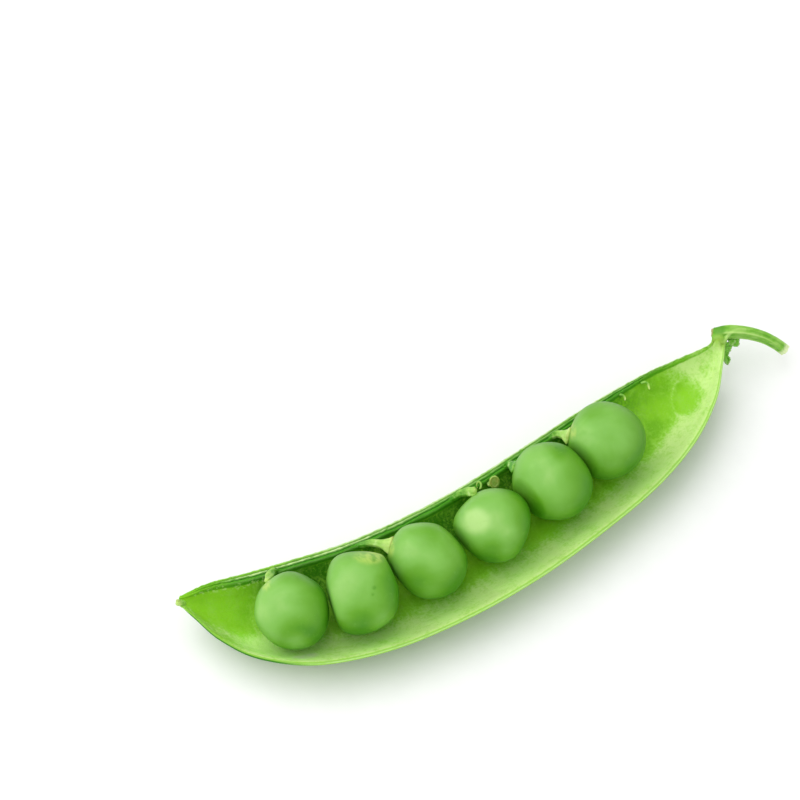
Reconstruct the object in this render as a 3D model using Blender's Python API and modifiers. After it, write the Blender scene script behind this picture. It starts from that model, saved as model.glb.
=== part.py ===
"""Half of a garden pea pod, opened along both seams, with its six peas, stalk and torn calyx.

The pod lies on its back. +X runs from the blossom tip to the stalk, +Y to the seam that the
peas hang from, +Z up. The origin is a small flat spot under the pod's weight, between the
three low points that the pod rests on.
Lengths below are in millimetres and are scaled to metres where the meshes are made.
"""

import math

import bmesh
import bpy
from mathutils import Vector

MM = 0.001
GAP = 0.3

# Driving dimensions of the valve
RIM_HEIGHT = 5.9
WALL = 1.1
END_WALL_SHARE = 0.34
SECTION_POWER = 2.4
SECTION_SKEW = -0.17
STEPS_ALONG = 64
STEPS_ACROSS = 16

# The underside: three low points round the weight, each by its steps along and across, and the
# first and last steps of the flat spot between them
BELLY_HEIGHT = 0.12
LOW_POINT_HEIGHT = -0.03
LOW_POINTS = ((23, 11), (40, 11), (31, 6))
FLAT_SPOT_ALONG = (31, 34)
FLAT_SPOT_ACROSS = (9, 11)

# Each station, from tip to neck: back seam x and y, seed seam x and y, depth below the rim
STATIONS = (
    (-38.9, 8.7, -38.5, 9.75, 0.5),
    (-38.1, 6.0, -36.7, 9.85, 2.2),
    (-36.6, 1.4, -33.8, 9.70, 3.9),
    (-33.3, -3.5, -29.6, 8.80, 5.1),
    (-26.9, -7.9, -23.2, 7.65, 5.8),
    (-17.4, -10.5, -15.0, 6.50, 6.05),
    (-6.5, -11.1, -5.6, 6.30, 6.12),
    (4.6, -10.3, 3.8, 6.95, 6.12),
    (15.4, -8.3, 14.0, 8.40, 6.0),
    (25.0, -5.8, 24.0, 9.80, 5.5),
    (33.0, -2.3, 32.2, 10.40, 4.7),
    (39.1, 2.1, 38.3, 10.35, 3.5),
    (42.9, 6.5, 41.9, 10.20, 2.2),
    (44.5, 8.6, 43.5, 10.40, 0.9),
)

# The placenta, a cord along the inside of the seed seam
CORD_RADIUS = 0.4
CORD_INSET = 1.05
CORD_RISE = 0.15
CORD_START = 0.8
CORD_END = 12.4
CORD_POINTS = 60

# Peas: centre x and y, radius; their height comes from the wall that they rest on
PEAS = (
    (-26.8, 0.6, 4.9),
    (-17.6, -1.5, 5.35),
    (-7.6, -1.15, 5.05),
    (2.6, -0.65, 5.0),
    (12.45, 1.05, 5.25),
    (21.85, 2.85, 5.15),
)
PEA_SEGMENTS = 24
PEA_RINGS = 15
PEA_FLAT_SOFTNESS = 0.4

# Seed stalks: pea number, the way from the pea's centre to its scar, station of the root
SEED_STALKS = (
    (0, (-0.35, 0.85, 0.35), 3.25),
    (2, (-0.68, 0.71, 0.20), 5.25),
    (3, (0.02, 0.86, 0.50), 6.75),
    (4, (-0.61, 0.76, 0.245), 7.5),
    (5, (-0.84, 0.54, 0.05), 8.25),
)
SEED_STALK_RADIUS = 0.36
SEED_STALK_FLARE = 0.62

# Seed stalks with no pea: station of the root and the free end
EMPTY_STALKS = (
    (9.45, (28.9, 8.1, 5.35)),
    (9.95, (33.1, 8.7, 5.2)),
)
EMPTY_STALK_RADIUS = 0.32

# The seed that never grew, beside its own short stalk
SMALL_SEED_CENTRE = (5.95, 4.75, 6.7)
SMALL_SEED_RADII = (0.62, 0.55, 0.8)
SMALL_SEED_ROOT = 7.2

# Solid ends of the valve: points of the middle line and the radius at each
BEAK = (
    (-37.5, 8.3, 5.0, 0.85),
    (-38.3, 8.95, 5.6, 0.7),
    (-38.8, 9.2, 6.0, 0.45),
    (-39.15, 9.2, 6.4, 0.32),
)
NECK = (
    (43.2, 8.9, 4.9, 0.85),
    (43.9, 9.5, 5.2, 0.95),
    (44.45, 10.2, 5.55, 1.0),
)

# The stalk, from its cup at the pod to the cut end
STALK = (
    (44.85, 10.45, 5.75, 1.05),
    (45.2, 11.1, 5.9, 1.2),
    (45.95, 11.1, 6.05, 1.15),
    (46.8, 10.6, 6.15, 0.98),
    (48.1, 9.8, 6.1, 0.88),
    (49.5, 8.95, 5.7, 0.84),
    (50.9, 8.0, 5.0, 0.8),
    (52.1, 6.95, 4.1, 0.78),
    (53.1, 5.9, 3.1, 0.82),
)

# The calyx: a half collar under the stalk with five torn sepals, each given by its angle round
# the stalk in degrees below the near side, its length, its width and its lean along the stalk
COLLAR_POINT = 2.85
COLLAR_THICK = 0.36
COLLAR_ARC = (-12, -126)
COLLAR_STEPS = 12
SEPAL_THICK = 0.66
SEPALS = (
    (-30, 3.3, 1.15, -0.05),
    (-55, 1.4, 1.7, 0.75),
    (-82, 1.8, 1.4, 0.2),
    (-102, 1.3, 1.2, -0.1),
    (-120, 1.0, 1.1, 0.1),
)


def clear_scene():
    """Starts from an empty scene."""
    for item in list(bpy.data.objects):
        bpy.data.objects.remove(item, do_unlink=True)


def new_collection(name):
    collection = bpy.data.collections.new(name)
    bpy.context.scene.collection.children.link(collection)
    return collection


def material(name, colour, roughness):
    """One plant surface: its colour and roughness, never metallic."""
    made = bpy.data.materials.new(name)
    made.use_nodes = True
    shader = made.node_tree.nodes["Principled BSDF"]
    shader.inputs["Base Color"].default_value = (*colour, 1.0)
    shader.inputs["Roughness"].default_value = roughness
    shader.inputs["Metallic"].default_value = 0.0
    return made


def smooth_through(points, place):
    """The smooth curve through the points, read at a place counted in points."""
    last = len(points) - 1
    index = min(max(int(math.floor(place)), 0), last - 1)
    t = place - index

    def at(k):
        if k < 0:
            return [2 * a - b for a, b in zip(points[0], points[1])]
        if k > last:
            return [2 * a - b for a, b in zip(points[last], points[last - 1])]
        return points[k]

    four = zip(at(index - 1), at(index), at(index + 1), at(index + 2))
    return [
        0.5 * (2 * b + (c - a) * t + (2 * a - 5 * b + 4 * c - d) * t**2 + (3 * b - a - 3 * c + d) * t**3)
        for a, b, c, d in four
    ]


def outer_point(place, across):
    """A point of the valve's outer face: place along the stations, 0 to 1 from back to seed seam."""
    back_x, back_y, seed_x, seed_y, depth = smooth_through(STATIONS, place)
    skewed = across + SECTION_SKEW * across * (1 - across)
    drop = depth * (1 - abs(2 * skewed - 1) ** SECTION_POWER)
    return Vector(
        (
            back_x + (seed_x - back_x) * across,
            back_y + (seed_y - back_y) * across,
            max(RIM_HEIGHT - drop, BELLY_HEIGHT),
        )
    )


def rest_height(step_along, step_across, height):
    """The height of a grid point of the underside: low points and flat spot have their own."""
    if (step_along, step_across) in LOW_POINTS:
        return LOW_POINT_HEIGHT
    first, last = FLAT_SPOT_ALONG
    near, far = FLAT_SPOT_ACROSS
    if first <= step_along <= last and near <= step_across <= far:
        return 0.0
    return height


def cord_point(place):
    """The middle of the placenta cord at a place along the stations."""
    back_x, back_y, seed_x, seed_y, _ = smooth_through(STATIONS, place)
    seam = Vector((seed_x, seed_y, RIM_HEIGHT + CORD_RISE))
    inward = Vector((back_x - seed_x, back_y - seed_y, 0.0)).normalized()
    return seam + inward * CORD_INSET


def pea_centre(x, y, radius):
    """Lowers a pea until it lies a gap above the wall or the placenta cord."""
    height = 0.0
    last = len(STATIONS) - 1
    for i in range(2 * STEPS_ALONG + 1):
        place = last * i / (2 * STEPS_ALONG)
        row = [(outer_point(place, k / 60), WALL) for k in range(61)]
        row.append((cord_point(place), CORD_RADIUS))
        for point, thick in row:
            reach = radius + thick + GAP
            aside = (point.x - x) ** 2 + (point.y - y) ** 2
            if aside < reach**2:
                height = max(height, point.z + math.sqrt(reach**2 - aside))
    return Vector((x, y, height))


def tube(name, points, sides_step, collection):
    """A round stem through points of x, y, z and radius, as one closed mesh."""
    curve = bpy.data.curves.new(name, "CURVE")
    curve.dimensions = "3D"
    curve.bevel_depth = MM
    curve.bevel_resolution = sides_step
    curve.use_fill_caps = True
    spline = curve.splines.new("POLY")
    spline.points.add(len(points) - 1)
    for target, (x, y, z, radius) in zip(spline.points, points):
        target.co = (x * MM, y * MM, z * MM, 1.0)
        target.radius = radius
    source = bpy.data.objects.new(name + "_line", curve)
    collection.objects.link(source)
    depsgraph = bpy.context.evaluated_depsgraph_get()
    mesh = bpy.data.meshes.new_from_object(source.evaluated_get(depsgraph))
    made = bpy.data.objects.new(name, mesh)
    made.matrix_world = source.matrix_world
    collection.objects.link(made)
    bpy.data.objects.remove(source, do_unlink=True)
    weld = bmesh.new()
    weld.from_mesh(mesh)
    bmesh.ops.remove_doubles(weld, verts=weld.verts, dist=1e-6)
    bmesh.ops.recalc_face_normals(weld, faces=weld.faces)
    weld.to_mesh(mesh)
    weld.free()
    return made


def smooth_tube(name, points, count, sides_step, collection):
    """A tube along the smooth curve through a few points."""
    last = len(points) - 1
    line = [smooth_through(points, last * i / (count - 1)) for i in range(count)]
    return tube(name, line, sides_step, collection)


def join_collection(target, joined):
    """Unites an object with everything in a collection, and removes the collection."""
    union = target.modifiers.new("join", "BOOLEAN")
    union.operation = "UNION"
    union.operand_type = "COLLECTION"
    union.collection = joined
    union.solver = "EXACT"
    depsgraph = bpy.context.evaluated_depsgraph_get()
    mesh = bpy.data.meshes.new_from_object(target.evaluated_get(depsgraph))
    target.modifiers.clear()
    target.data = mesh
    for item in list(joined.objects):
        bpy.data.objects.remove(item, do_unlink=True)
    bpy.data.collections.remove(joined)


def finish(target, look):
    target.data.materials.clear()
    target.data.materials.append(look)
    target.data.shade_smooth()
    target.data.set_sharp_from_angle(angle=math.radians(50))


def valve_sheet(collection):
    """The valve's outer face from a grid, with the weights that thin the wall at the ends."""
    shape = bmesh.new()
    bmesh.ops.create_grid(shape, x_segments=STEPS_ALONG, y_segments=STEPS_ACROSS, size=1.0)
    last = len(STATIONS) - 1
    weights = []
    for vert in shape.verts:
        along = (vert.co.x + 1) / 2
        across = (vert.co.y + 1) / 2
        point = outer_point(last * along, across)
        point.z = rest_height(round(STEPS_ALONG * along), round(STEPS_ACROSS * across), point.z)
        vert.co = point * MM
        weights.append(min(1.0, 4.0 * along, 4.0 * (1.0 - along)))
    mesh = bpy.data.meshes.new("pod_valve")
    shape.to_mesh(mesh)
    shape.free()
    sheet = bpy.data.objects.new("pod_valve", mesh)
    collection.objects.link(sheet)
    group = sheet.vertex_groups.new(name="wall")
    for index, weight in enumerate(weights):
        group.add([index], weight, "REPLACE")
    return sheet


def seed_stalk_line(root_place, end, radius, flare):
    """A seed stalk: along the cord for a little, then across to its end, where it widens."""
    root = cord_point(root_place)
    middle = root.lerp(end, 0.5) + Vector((0.0, 0.25, -0.1))
    return (
        (*root, radius),
        (*root.lerp(middle, 0.5), radius),
        (*middle, radius),
        (*end, flare),
    )


def make_valve(collection, centres, look):
    """The half pod with its wall, beak, neck, placenta cord and seed stalks grown as one."""
    valve = valve_sheet(collection)
    solidify = valve.modifiers.new("wall", "SOLIDIFY")
    solidify.thickness = WALL * MM
    solidify.offset = 1.0
    solidify.use_rim = True
    solidify.vertex_group = "wall"
    solidify.thickness_vertex_group = END_WALL_SHARE
    grown = new_collection("grown_on_valve")
    span = CORD_END - CORD_START
    cord = [
        (*cord_point(CORD_START + span * i / (CORD_POINTS - 1)), CORD_RADIUS)
        for i in range(CORD_POINTS)
    ]
    tube("placenta_cord", cord, 1, grown)
    smooth_tube("beak", BEAK, 9, 2, grown)
    smooth_tube("neck", NECK, 7, 2, grown)
    for number, way, place in SEED_STALKS:
        centre, radius = centres[number]
        reach = radius + GAP + 0.2
        end = centre + Vector(way).normalized() * reach
        line = seed_stalk_line(place, end, SEED_STALK_RADIUS, SEED_STALK_FLARE)
        smooth_tube(f"seed_stalk_{number + 1}", line, 9, 1, grown)
    for index, (place, end) in enumerate(EMPTY_STALKS):
        line = seed_stalk_line(place, Vector(end), EMPTY_STALK_RADIUS, EMPTY_STALK_RADIUS)
        smooth_tube(f"empty_stalk_{index + 1}", line, 9, 1, grown)
    seed = Vector(SMALL_SEED_CENTRE)
    below = seed + Vector((-0.55, 0.45, -SMALL_SEED_RADII[2] - 0.35))
    line = seed_stalk_line(SMALL_SEED_ROOT, below, EMPTY_STALK_RADIUS, EMPTY_STALK_RADIUS)
    smooth_tube("small_seed_stalk", line, 7, 1, grown)
    join_collection(valve, grown)
    finish(valve, look)


def pressed(offset, flats):
    """Presses a pea's surface point flat where a neighbour lies: direction and distance of each."""
    moved = offset.copy()
    for way, limit in flats:
        along = moved.dot(way)
        start = limit - PEA_FLAT_SOFTNESS
        if along > start:
            room = limit - start
            eased = start + room * (1 - math.exp(-(along - start) / room))
            moved += way * (eased - along)
    return moved


def make_pea(number, centres, collection, look):
    """One pea: a ball pressed a little flat against the peas beside it."""
    centre, radius = centres[number]
    flats = []
    for other in (number - 1, number + 1):
        if 0 <= other < len(centres):
            far_centre, far_radius = centres[other]
            between = far_centre - centre
            share = (between.length - GAP) * radius / (radius + far_radius)
            flats.append((between.normalized(), min(share, radius)))
    shape = bmesh.new()
    bmesh.ops.create_uvsphere(
        shape, u_segments=PEA_SEGMENTS, v_segments=PEA_RINGS, radius=radius
    )
    for vert in shape.verts:
        vert.co = pressed(vert.co, flats) * MM
    mesh = bpy.data.meshes.new(f"pea_{number + 1}")
    shape.to_mesh(mesh)
    shape.free()
    pea = bpy.data.objects.new(f"pea_{number + 1}", mesh)
    pea.location = centre * MM
    collection.objects.link(pea)
    finish(pea, look)


def make_small_seed(collection, look):
    shape = bmesh.new()
    bmesh.ops.create_uvsphere(shape, u_segments=14, v_segments=10, radius=MM)
    bmesh.ops.scale(shape, vec=SMALL_SEED_RADII, verts=shape.verts)
    mesh = bpy.data.meshes.new("undeveloped_seed")
    shape.to_mesh(mesh)
    shape.free()
    seed = bpy.data.objects.new("undeveloped_seed", mesh)
    seed.location = Vector(SMALL_SEED_CENTRE) * MM
    collection.objects.link(seed)
    finish(seed, look)


def make_stalk(collection, look):
    """The stalk and the cup that the pod grew from."""
    stalk = smooth_tube("stalk", STALK, 34, 3, collection)
    finish(stalk, look)


def make_sepal(name, root, out, axis, sepal, collection):
    """A torn sepal that leaves the collar: a bent strip from a grid, thickened."""
    _, length, width, lean = sepal
    bend = (out + axis * lean * 0.4).normalized()
    end = (out + axis * lean + Vector((0.0, 0.0, -0.25))).normalized()
    points = (root, root + bend * length * 0.45, root + (bend + end) * length * 0.5)
    side = axis.cross(out).normalized()
    shape = bmesh.new()
    bmesh.ops.create_grid(shape, x_segments=8, y_segments=2, size=1.0)
    for vert in shape.verts:
        along = (vert.co.x + 1) / 2
        middle = Vector(smooth_through(points, 2 * along))
        ragged = 1.0 - 0.55 * along**2 + 0.12 * math.sin(9.0 * along + 2.0 * vert.co.y)
        vert.co = (middle + side * (vert.co.y * 0.5 * width * ragged)) * MM
    mesh = bpy.data.meshes.new(name)
    shape.to_mesh(mesh)
    shape.free()
    sheet = bpy.data.objects.new(name + "_sheet", mesh)
    collection.objects.link(sheet)
    solidify = sheet.modifiers.new("thick", "SOLIDIFY")
    solidify.thickness = SEPAL_THICK * MM
    solidify.offset = 0.0
    depsgraph = bpy.context.evaluated_depsgraph_get()
    solid = bpy.data.meshes.new_from_object(sheet.evaluated_get(depsgraph))
    made = bpy.data.objects.new(name, solid)
    collection.objects.link(made)
    bpy.data.objects.remove(sheet, do_unlink=True)


def make_calyx(collection, look):
    """The collar round the stalk, with its five sepals joined to it."""
    x, y, z, radius = smooth_through(STALK, COLLAR_POINT)
    centre = Vector((x, y, z))
    ahead = Vector(smooth_through(STALK, COLLAR_POINT + 0.2)[:3])
    behind = Vector(smooth_through(STALK, COLLAR_POINT - 0.2)[:3])
    axis = (ahead - behind).normalized()
    aside = axis.cross(Vector((0.0, 0.0, 1.0))).normalized()
    up = aside.cross(axis)
    ring_radius = radius + GAP + COLLAR_THICK
    first, last = COLLAR_ARC
    line = []
    for i in range(COLLAR_STEPS + 1):
        turn = math.radians(first + (last - first) * i / COLLAR_STEPS)
        place = centre + (aside * math.cos(turn) + up * math.sin(turn)) * ring_radius
        line.append((*place, COLLAR_THICK))
    collar = tube("calyx", line, 1, collection)
    sepals = new_collection("sepals")
    for index, sepal in enumerate(SEPALS):
        turn = math.radians(sepal[0])
        out = aside * math.cos(turn) + up * math.sin(turn)
        root = centre + out * (ring_radius - 0.1)
        make_sepal(f"sepal_{index + 1}", root, out, axis, sepal, sepals)
    join_collection(collar, sepals)
    finish(collar, look)


def main():
    clear_scene()
    parts = new_collection("pea_pod")
    pod_green = material("pod_green", (0.20, 0.46, 0.04), 0.42)
    pea_green = material("pea_green", (0.26, 0.50, 0.08), 0.36)
    stalk_green = material("stalk_green", (0.30, 0.52, 0.09), 0.5)
    calyx_green = material("calyx_green", (0.13, 0.27, 0.06), 0.7)
    seed_olive = material("seed_olive", (0.50, 0.50, 0.10), 0.5)
    centres = [(pea_centre(x, y, radius), radius) for x, y, radius in PEAS]
    make_valve(parts, centres, pod_green)
    for number in range(len(PEAS)):
        make_pea(number, centres, parts, pea_green)
    make_small_seed(parts, seed_olive)
    make_stalk(parts, stalk_green)
    make_calyx(parts, calyx_green)


main()
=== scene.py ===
"""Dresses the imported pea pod: the open half with its six peas, its stalk and its torn calyx.

+X runs from the blossom tip to the stalk, +Y to the seam that the peas hang from, +Z up. Shapes are
worked out in millimetres and scaled to metres where their meshes are made.
"""

import math

import bmesh
import bpy
import numpy as np
from bpy.props import FloatProperty, FloatVectorProperty, PointerProperty
from mathutils import Matrix, Vector, noise


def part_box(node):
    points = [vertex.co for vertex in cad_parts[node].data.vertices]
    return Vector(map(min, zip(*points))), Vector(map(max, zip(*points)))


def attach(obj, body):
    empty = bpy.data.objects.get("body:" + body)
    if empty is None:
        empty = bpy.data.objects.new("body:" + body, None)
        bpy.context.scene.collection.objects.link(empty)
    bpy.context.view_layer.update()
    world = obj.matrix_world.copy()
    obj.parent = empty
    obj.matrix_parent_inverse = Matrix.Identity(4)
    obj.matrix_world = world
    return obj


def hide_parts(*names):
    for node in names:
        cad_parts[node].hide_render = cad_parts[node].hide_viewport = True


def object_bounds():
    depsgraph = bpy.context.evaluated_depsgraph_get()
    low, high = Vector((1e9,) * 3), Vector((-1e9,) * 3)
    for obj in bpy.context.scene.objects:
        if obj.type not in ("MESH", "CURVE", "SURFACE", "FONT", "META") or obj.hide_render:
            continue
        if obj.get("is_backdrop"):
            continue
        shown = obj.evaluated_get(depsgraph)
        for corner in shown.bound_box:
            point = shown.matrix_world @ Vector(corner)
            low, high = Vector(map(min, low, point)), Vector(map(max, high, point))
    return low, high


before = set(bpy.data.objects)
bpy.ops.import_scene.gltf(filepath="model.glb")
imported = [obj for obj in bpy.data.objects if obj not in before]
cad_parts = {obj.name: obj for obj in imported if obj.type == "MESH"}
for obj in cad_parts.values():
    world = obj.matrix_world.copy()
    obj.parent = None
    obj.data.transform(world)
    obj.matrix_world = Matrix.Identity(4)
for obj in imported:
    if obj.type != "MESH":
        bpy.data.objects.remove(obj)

bl_info = {
    "name": "Pea Pod",
    "version": (1, 0, 0),
    "blender": (4, 5, 0),
    "location": "View3D > Sidebar > Pea Pod",
    "description": "Builds the fine surface of an opened pea pod round its solid model",
    "category": "Add Mesh",
}

MM = 0.001
BODY = "root"
PEA_NODES = [f"pea_{number + 1}" for number in range(6)]

# Outline of the half pod, from tip to neck: back seam x and y, seed seam x and y, depth
STATIONS = (
    (-38.9, 8.7, -38.5, 9.75, 0.5),
    (-38.1, 6.0, -36.7, 9.85, 2.2),
    (-36.6, 1.4, -33.8, 9.70, 3.9),
    (-33.3, -3.5, -29.6, 8.80, 5.1),
    (-26.9, -7.9, -23.2, 7.65, 5.8),
    (-17.4, -10.5, -15.0, 6.50, 6.05),
    (-6.5, -11.1, -5.6, 6.30, 6.12),
    (4.6, -10.3, 3.8, 6.95, 6.12),
    (15.4, -8.3, 14.0, 8.40, 6.0),
    (25.0, -5.8, 24.0, 9.80, 5.5),
    (33.0, -2.3, 32.2, 10.40, 4.7),
    (39.1, 2.1, 38.3, 10.35, 3.5),
    (42.9, 6.5, 41.9, 10.20, 2.2),
    (44.5, 8.6, 43.3, 10.45, 1.1),
    (45.1, 9.65, 43.9, 10.95, 0.95),
    (45.45, 10.4, 44.4, 11.3, 0.95),
)
NECK_START = 12.3
# How boxy a section is, and how far its deepest place leans to one seam
SECTION_POWER = 2.4
SECTION_SKEW = -0.17

# The wall is rolled up from rings. Each ring runs up the outside, over the seed rim, down the inside
# and over the back rim
SHELL_ROWS = 400
OUTER_COLUMNS = 56
SEED_RIM_COLUMNS = 36
INNER_COLUMNS = 61
BACK_RIM_COLUMNS = 12
FIRST_INNER = OUTER_COLUMNS + SEED_RIM_COLUMNS
FIRST_BACK = FIRST_INNER + INNER_COLUMNS
COLUMNS = FIRST_BACK + BACK_RIM_COLUMNS
SEED_PART = slice(OUTER_COLUMNS, FIRST_INNER)
BACK_PART = slice(FIRST_BACK, COLUMNS)
# Columns that are smoothed round the start of the back rim, and how often
BACK_RIM_SOFTENED = (FIRST_BACK - 14, FIRST_BACK + 8)
BACK_RIM_PASSES = 24
# Rings that round off each end of the wall and of a tube
END_ROWS = 7
CAP_ROWS = 6

# Rim shapes: distance in from the outer edge and height above the rim, for a full-sized section
SEED_RIM = (
    (0.00, 0.00), (0.03, 0.13), (0.11, 0.23), (0.20, 0.24), (0.29, 0.15), (0.37, 0.08),
    (0.46, 0.16), (0.57, 0.24), (0.69, 0.21), (0.79, 0.08), (0.88, 0.03), (0.97, 0.18),
    (1.08, 0.40), (1.22, 0.47), (1.36, 0.36), (1.46, 0.12), (1.50, -0.15),
)
PLAIN_SEED_RIM = (
    (0.00, 0.00), (0.03, 0.10), (0.10, 0.18), (0.18, 0.21), (0.28, 0.20), (0.37, 0.18),
    (0.46, 0.19), (0.57, 0.21), (0.68, 0.20), (0.79, 0.17), (0.89, 0.16), (0.99, 0.18),
    (1.10, 0.19), (1.22, 0.16), (1.34, 0.10), (1.44, 0.00), (1.50, -0.12),
)
BACK_RIM = (
    (0.95, -0.28), (0.85, -0.20), (0.70, -0.10), (0.52, -0.01), (0.32, 0.06), (0.14, 0.08),
    (0.04, 0.05), (0.0, 0.0),
)
# A row of pale beads inside the seed rim, strength by column
BEADS = (0.3, 0.8, 1.0, 1.0, 1.0, 0.9, 0.7, 0.4, 0.15)
# Width at which a section has its full rims
FULL_SECTION = 3.2
CORD_INSET = 1.05
CORD_RISE = 0.15

# The print that a lost seventh pea left in the wall: centre and half sizes along and across
PRINT_CENTRE = (36.65, 5.65)
PRINT_SIZE = (1.8, 2.7)
PRINT_TURN = -0.5

# Pale scuffs on the wall near the back seam: x, y and radius
SCUFFS = ((-27.3, -5.1, 1.1), (-28.7, -4.6, 0.5))

# Dried beak at the blossom tip, and the stalk: x, y, z and radius
BEAK = (
    (-38.2, 8.95, 5.0, 0.36), (-38.4, 8.9, 5.5, 0.48), (-38.65, 8.85, 5.85, 0.44),
    (-38.85, 8.8, 6.1, 0.36), (-38.98, 8.8, 6.3, 0.36), (-38.90, 9.0, 6.55, 0.27),
)
STALK = (
    (44.50, 11.72, 5.90, 0.60), (44.75, 11.58, 5.94, 0.76), (45.20, 11.33, 6.00, 0.84),
    (45.90, 11.00, 6.10, 0.92), (46.70, 10.60, 6.16, 0.93), (47.50, 10.15, 6.16, 0.89),
    (48.40, 9.62, 6.04, 0.86), (49.5, 8.95, 5.7, 0.84), (50.9, 8.0, 5.0, 0.81),
    (52.1, 6.95, 4.1, 0.80), (53.0, 6.0, 3.2, 0.82),
)
NECK = (
    (44.70, 10.25, 5.35, 1.08), (44.82, 10.58, 5.50, 1.22), (44.98, 10.86, 5.68, 1.18),
    (45.18, 11.08, 5.85, 0.95),
)
# A low rib that sweeps from the neck on to the top of the stalk
SWEEP = (
    (44.85, 9.75, 5.75, 0.20), (45.2, 9.85, 6.05, 0.24), (45.8, 10.05, 6.42, 0.22),
    (46.5, 10.25, 6.68, 0.18), (47.4, 10.1, 6.78, 0.12), (48.3, 9.65, 6.65, 0.08),
)
# How finely the stalk's parts are melted together, and where its torn and dark places are
STALK_VOXEL = 0.055
STALK_PASSES = 9
TORN_END = (44.45, 11.80, 5.95)
DARK_TOP = (45.3, 11.5, 6.65)

# Seed stalks: pea number, the way from the pea's centre to its scar, station of the root, half
# width where it spreads, how pale it is there and how dry
SEED_STALKS = (
    (0, (-0.22, 0.88, 0.40), 3.74, 0.36, 0.8, 0.0),
    (2, (-0.72, 0.62, 0.32), 5.05, 1.20, 1.0, 0.7),
    (3, (-0.10, 0.80, 0.59), 6.55, 0.60, 0.6, 0.2),
    (4, (-0.66, 0.70, 0.27), 7.45, 0.85, 0.25, 0.0),
    (5, (-0.86, 0.48, 0.18), 8.2, 1.10, 0.9, 0.25),
)
# Empty seed stalks: station of the root, then its bends to the right and up as the camera sees them
EMPTY_STALKS = (
    (9.45, ((0.0, 0.0), (0.45, -0.08), (0.66, -0.40), (0.72, -0.70))),
    (9.90, ((0.0, 0.0), (0.50, 0.14), (0.90, -0.05), (0.98, -0.45), (1.10, -0.80))),
)
# Middle of the dry loop, and the station that the small seed's stalk starts from
DRY_LOOP = (4.0, 5.6, 6.3)
SMALL_SEED_ROOT = 7.2
SMALL_SEED_DETAIL = 5

# The gap that shows between two peas, and the distance over which the wall eases off from a pea
SHOWN_GAP = 0.05
PEA_CLEARANCE = 0.2

# Each pea's own form: how far it swells past its ball, then where it is pressed flat. A flat has its
# way to the right, up and towards the camera, and its limit as a share of the ball's radius
PEA_FORMS = (
    (1.11, ((1, 0, 0, 1.035), (0.5, 0.86, 0, 1.01), (-1, 0.1, 0, 0.965), (-0.75, -0.66, 0, 0.95),
            (-0.1, -1, 0, 1.03), (-0.6, 0.8, 0, 1.0), (0, 0, 1, 1.0))),
    (1.12, ((1, 0, 0, 0.94), (-1, 0.15, 0, 0.90), (-0.93, -0.37, 0, 0.82), (0, 1, 0, 1.02),
            (0, -1, 0, 1.04), (0.6, -0.8, 0, 0.99), (0, 0, 1, 0.99))),
    (1.11, ((0.72, 0.69, 0, 0.90), (0, 1, 0, 0.97), (-0.75, -0.66, 0, 0.93), (0, -1, 0, 1.04),
            (1, -0.1, 0, 1.05), (0, 0, 1, 0.99), (-1, 0.3, 0, 1.06))),
    (1.08, ((-0.68, 0.73, 0, 0.94), (-0.7, -0.7, 0, 0.95), (0, 1, 0, 0.98), (0.93, -0.30, -0.15, 0.93),
            (0, -1, 0, 1.02), (0, 0, 1, 0.99))),
    (1.08, ((0, -1, 0, 0.96), (-0.7, -0.7, 0, 0.91), (0.75, 0.66, 0, 0.985), (0, 1, 0, 1.04),
            (-1, 0.1, 0, 1.0), (0, 0, 1, 0.99))),
    (1.04, ((0.4, 0.9, 0, 0.99), (-0.9, 0.3, 0, 0.99), (0, 0, 1, 0.985))),
)
FORM_SOFTNESS = 9.0
# Scars and dark spots on the peas: number, place to the right and up, and size, in radii
PEA_SCARS = (
    (1, 0.22, 0.84, 0.42, 0.20), (0, -0.60, 0.68, 0.16, 0.2), (2, -0.9, 0.35, 0.14, 0.3),
    (5, -0.88, 0.25, 0.1, 0.28),
)
PEA_SPOTS = (
    (1, 0.33, 0.18, 0.07), (1, 0.30, 0.75, 0.05), (1, 0.30, 0.02, 0.05), (4, 0.1, 0.85, 0.05),
)
PEA_DETAIL = 6
JOIN_SOFTNESS = 0.38
# The way towards the key light, from which the peas' painted light falls: to the right, up and towards
# the camera
PAINTED_LIGHT_WAY = (-0.42, 0.28, 0.86)
# Painted light and shade patches in each pea's skin: place to the right and up, size in radii, and how
# much lighter; positive ones are painted highlights and painted reflected light, negative ones painted
# shade
PEA_PAINTED_PATCHES = (
    (
        (-0.05, 0.28, 0.32, 0.10), (0.12, -0.40, 0.40, -0.40), (0.05, 0.95, 0.35, -0.20),
        (0.25, -0.84, 0.34, 0.85), (-0.75, 0.0, 0.3, 0.2),
    ),
    (
        (-0.38, 0.20, 0.36, 0.14), (0.0, -0.52, 0.38, -0.30), (0.75, 0.35, 0.32, -0.30),
        (0.55, -0.74, 0.36, 0.85),
    ),
    (
        (-0.58, 0.36, 0.32, 0.15), (-0.05, 0.66, 0.34, -0.30), (0.48, 0.06, 0.42, 0.15),
        (-0.30, -0.40, 0.40, -0.45), (0.1, -0.86, 0.3, 0.35),
    ),
    (
        (-0.48, 0.12, 0.34, 0.72), (0.44, -0.30, 0.34, 0.45), (-0.10, -0.66, 0.34, -0.30),
        (0.05, 0.08, 0.42, 0.30), (0.35, -0.82, 0.3, 0.45),
    ),
    (
        (-0.12, 0.30, 0.36, 0.20), (0.48, -0.30, 0.36, 0.20), (-0.40, -0.60, 0.38, -0.40),
        (0.12, 0.86, 0.32, -0.40), (0.35, -0.84, 0.3, 0.40),
    ),
    (
        (-0.62, 0.12, 0.34, 0.14), (0.50, 0.00, 0.40, 0.15), (-0.46, -0.55, 0.36, -0.30),
        (-0.30, 0.62, 0.32, -0.30), (0.2, -0.86, 0.3, 0.30),
    ),
)
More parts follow.
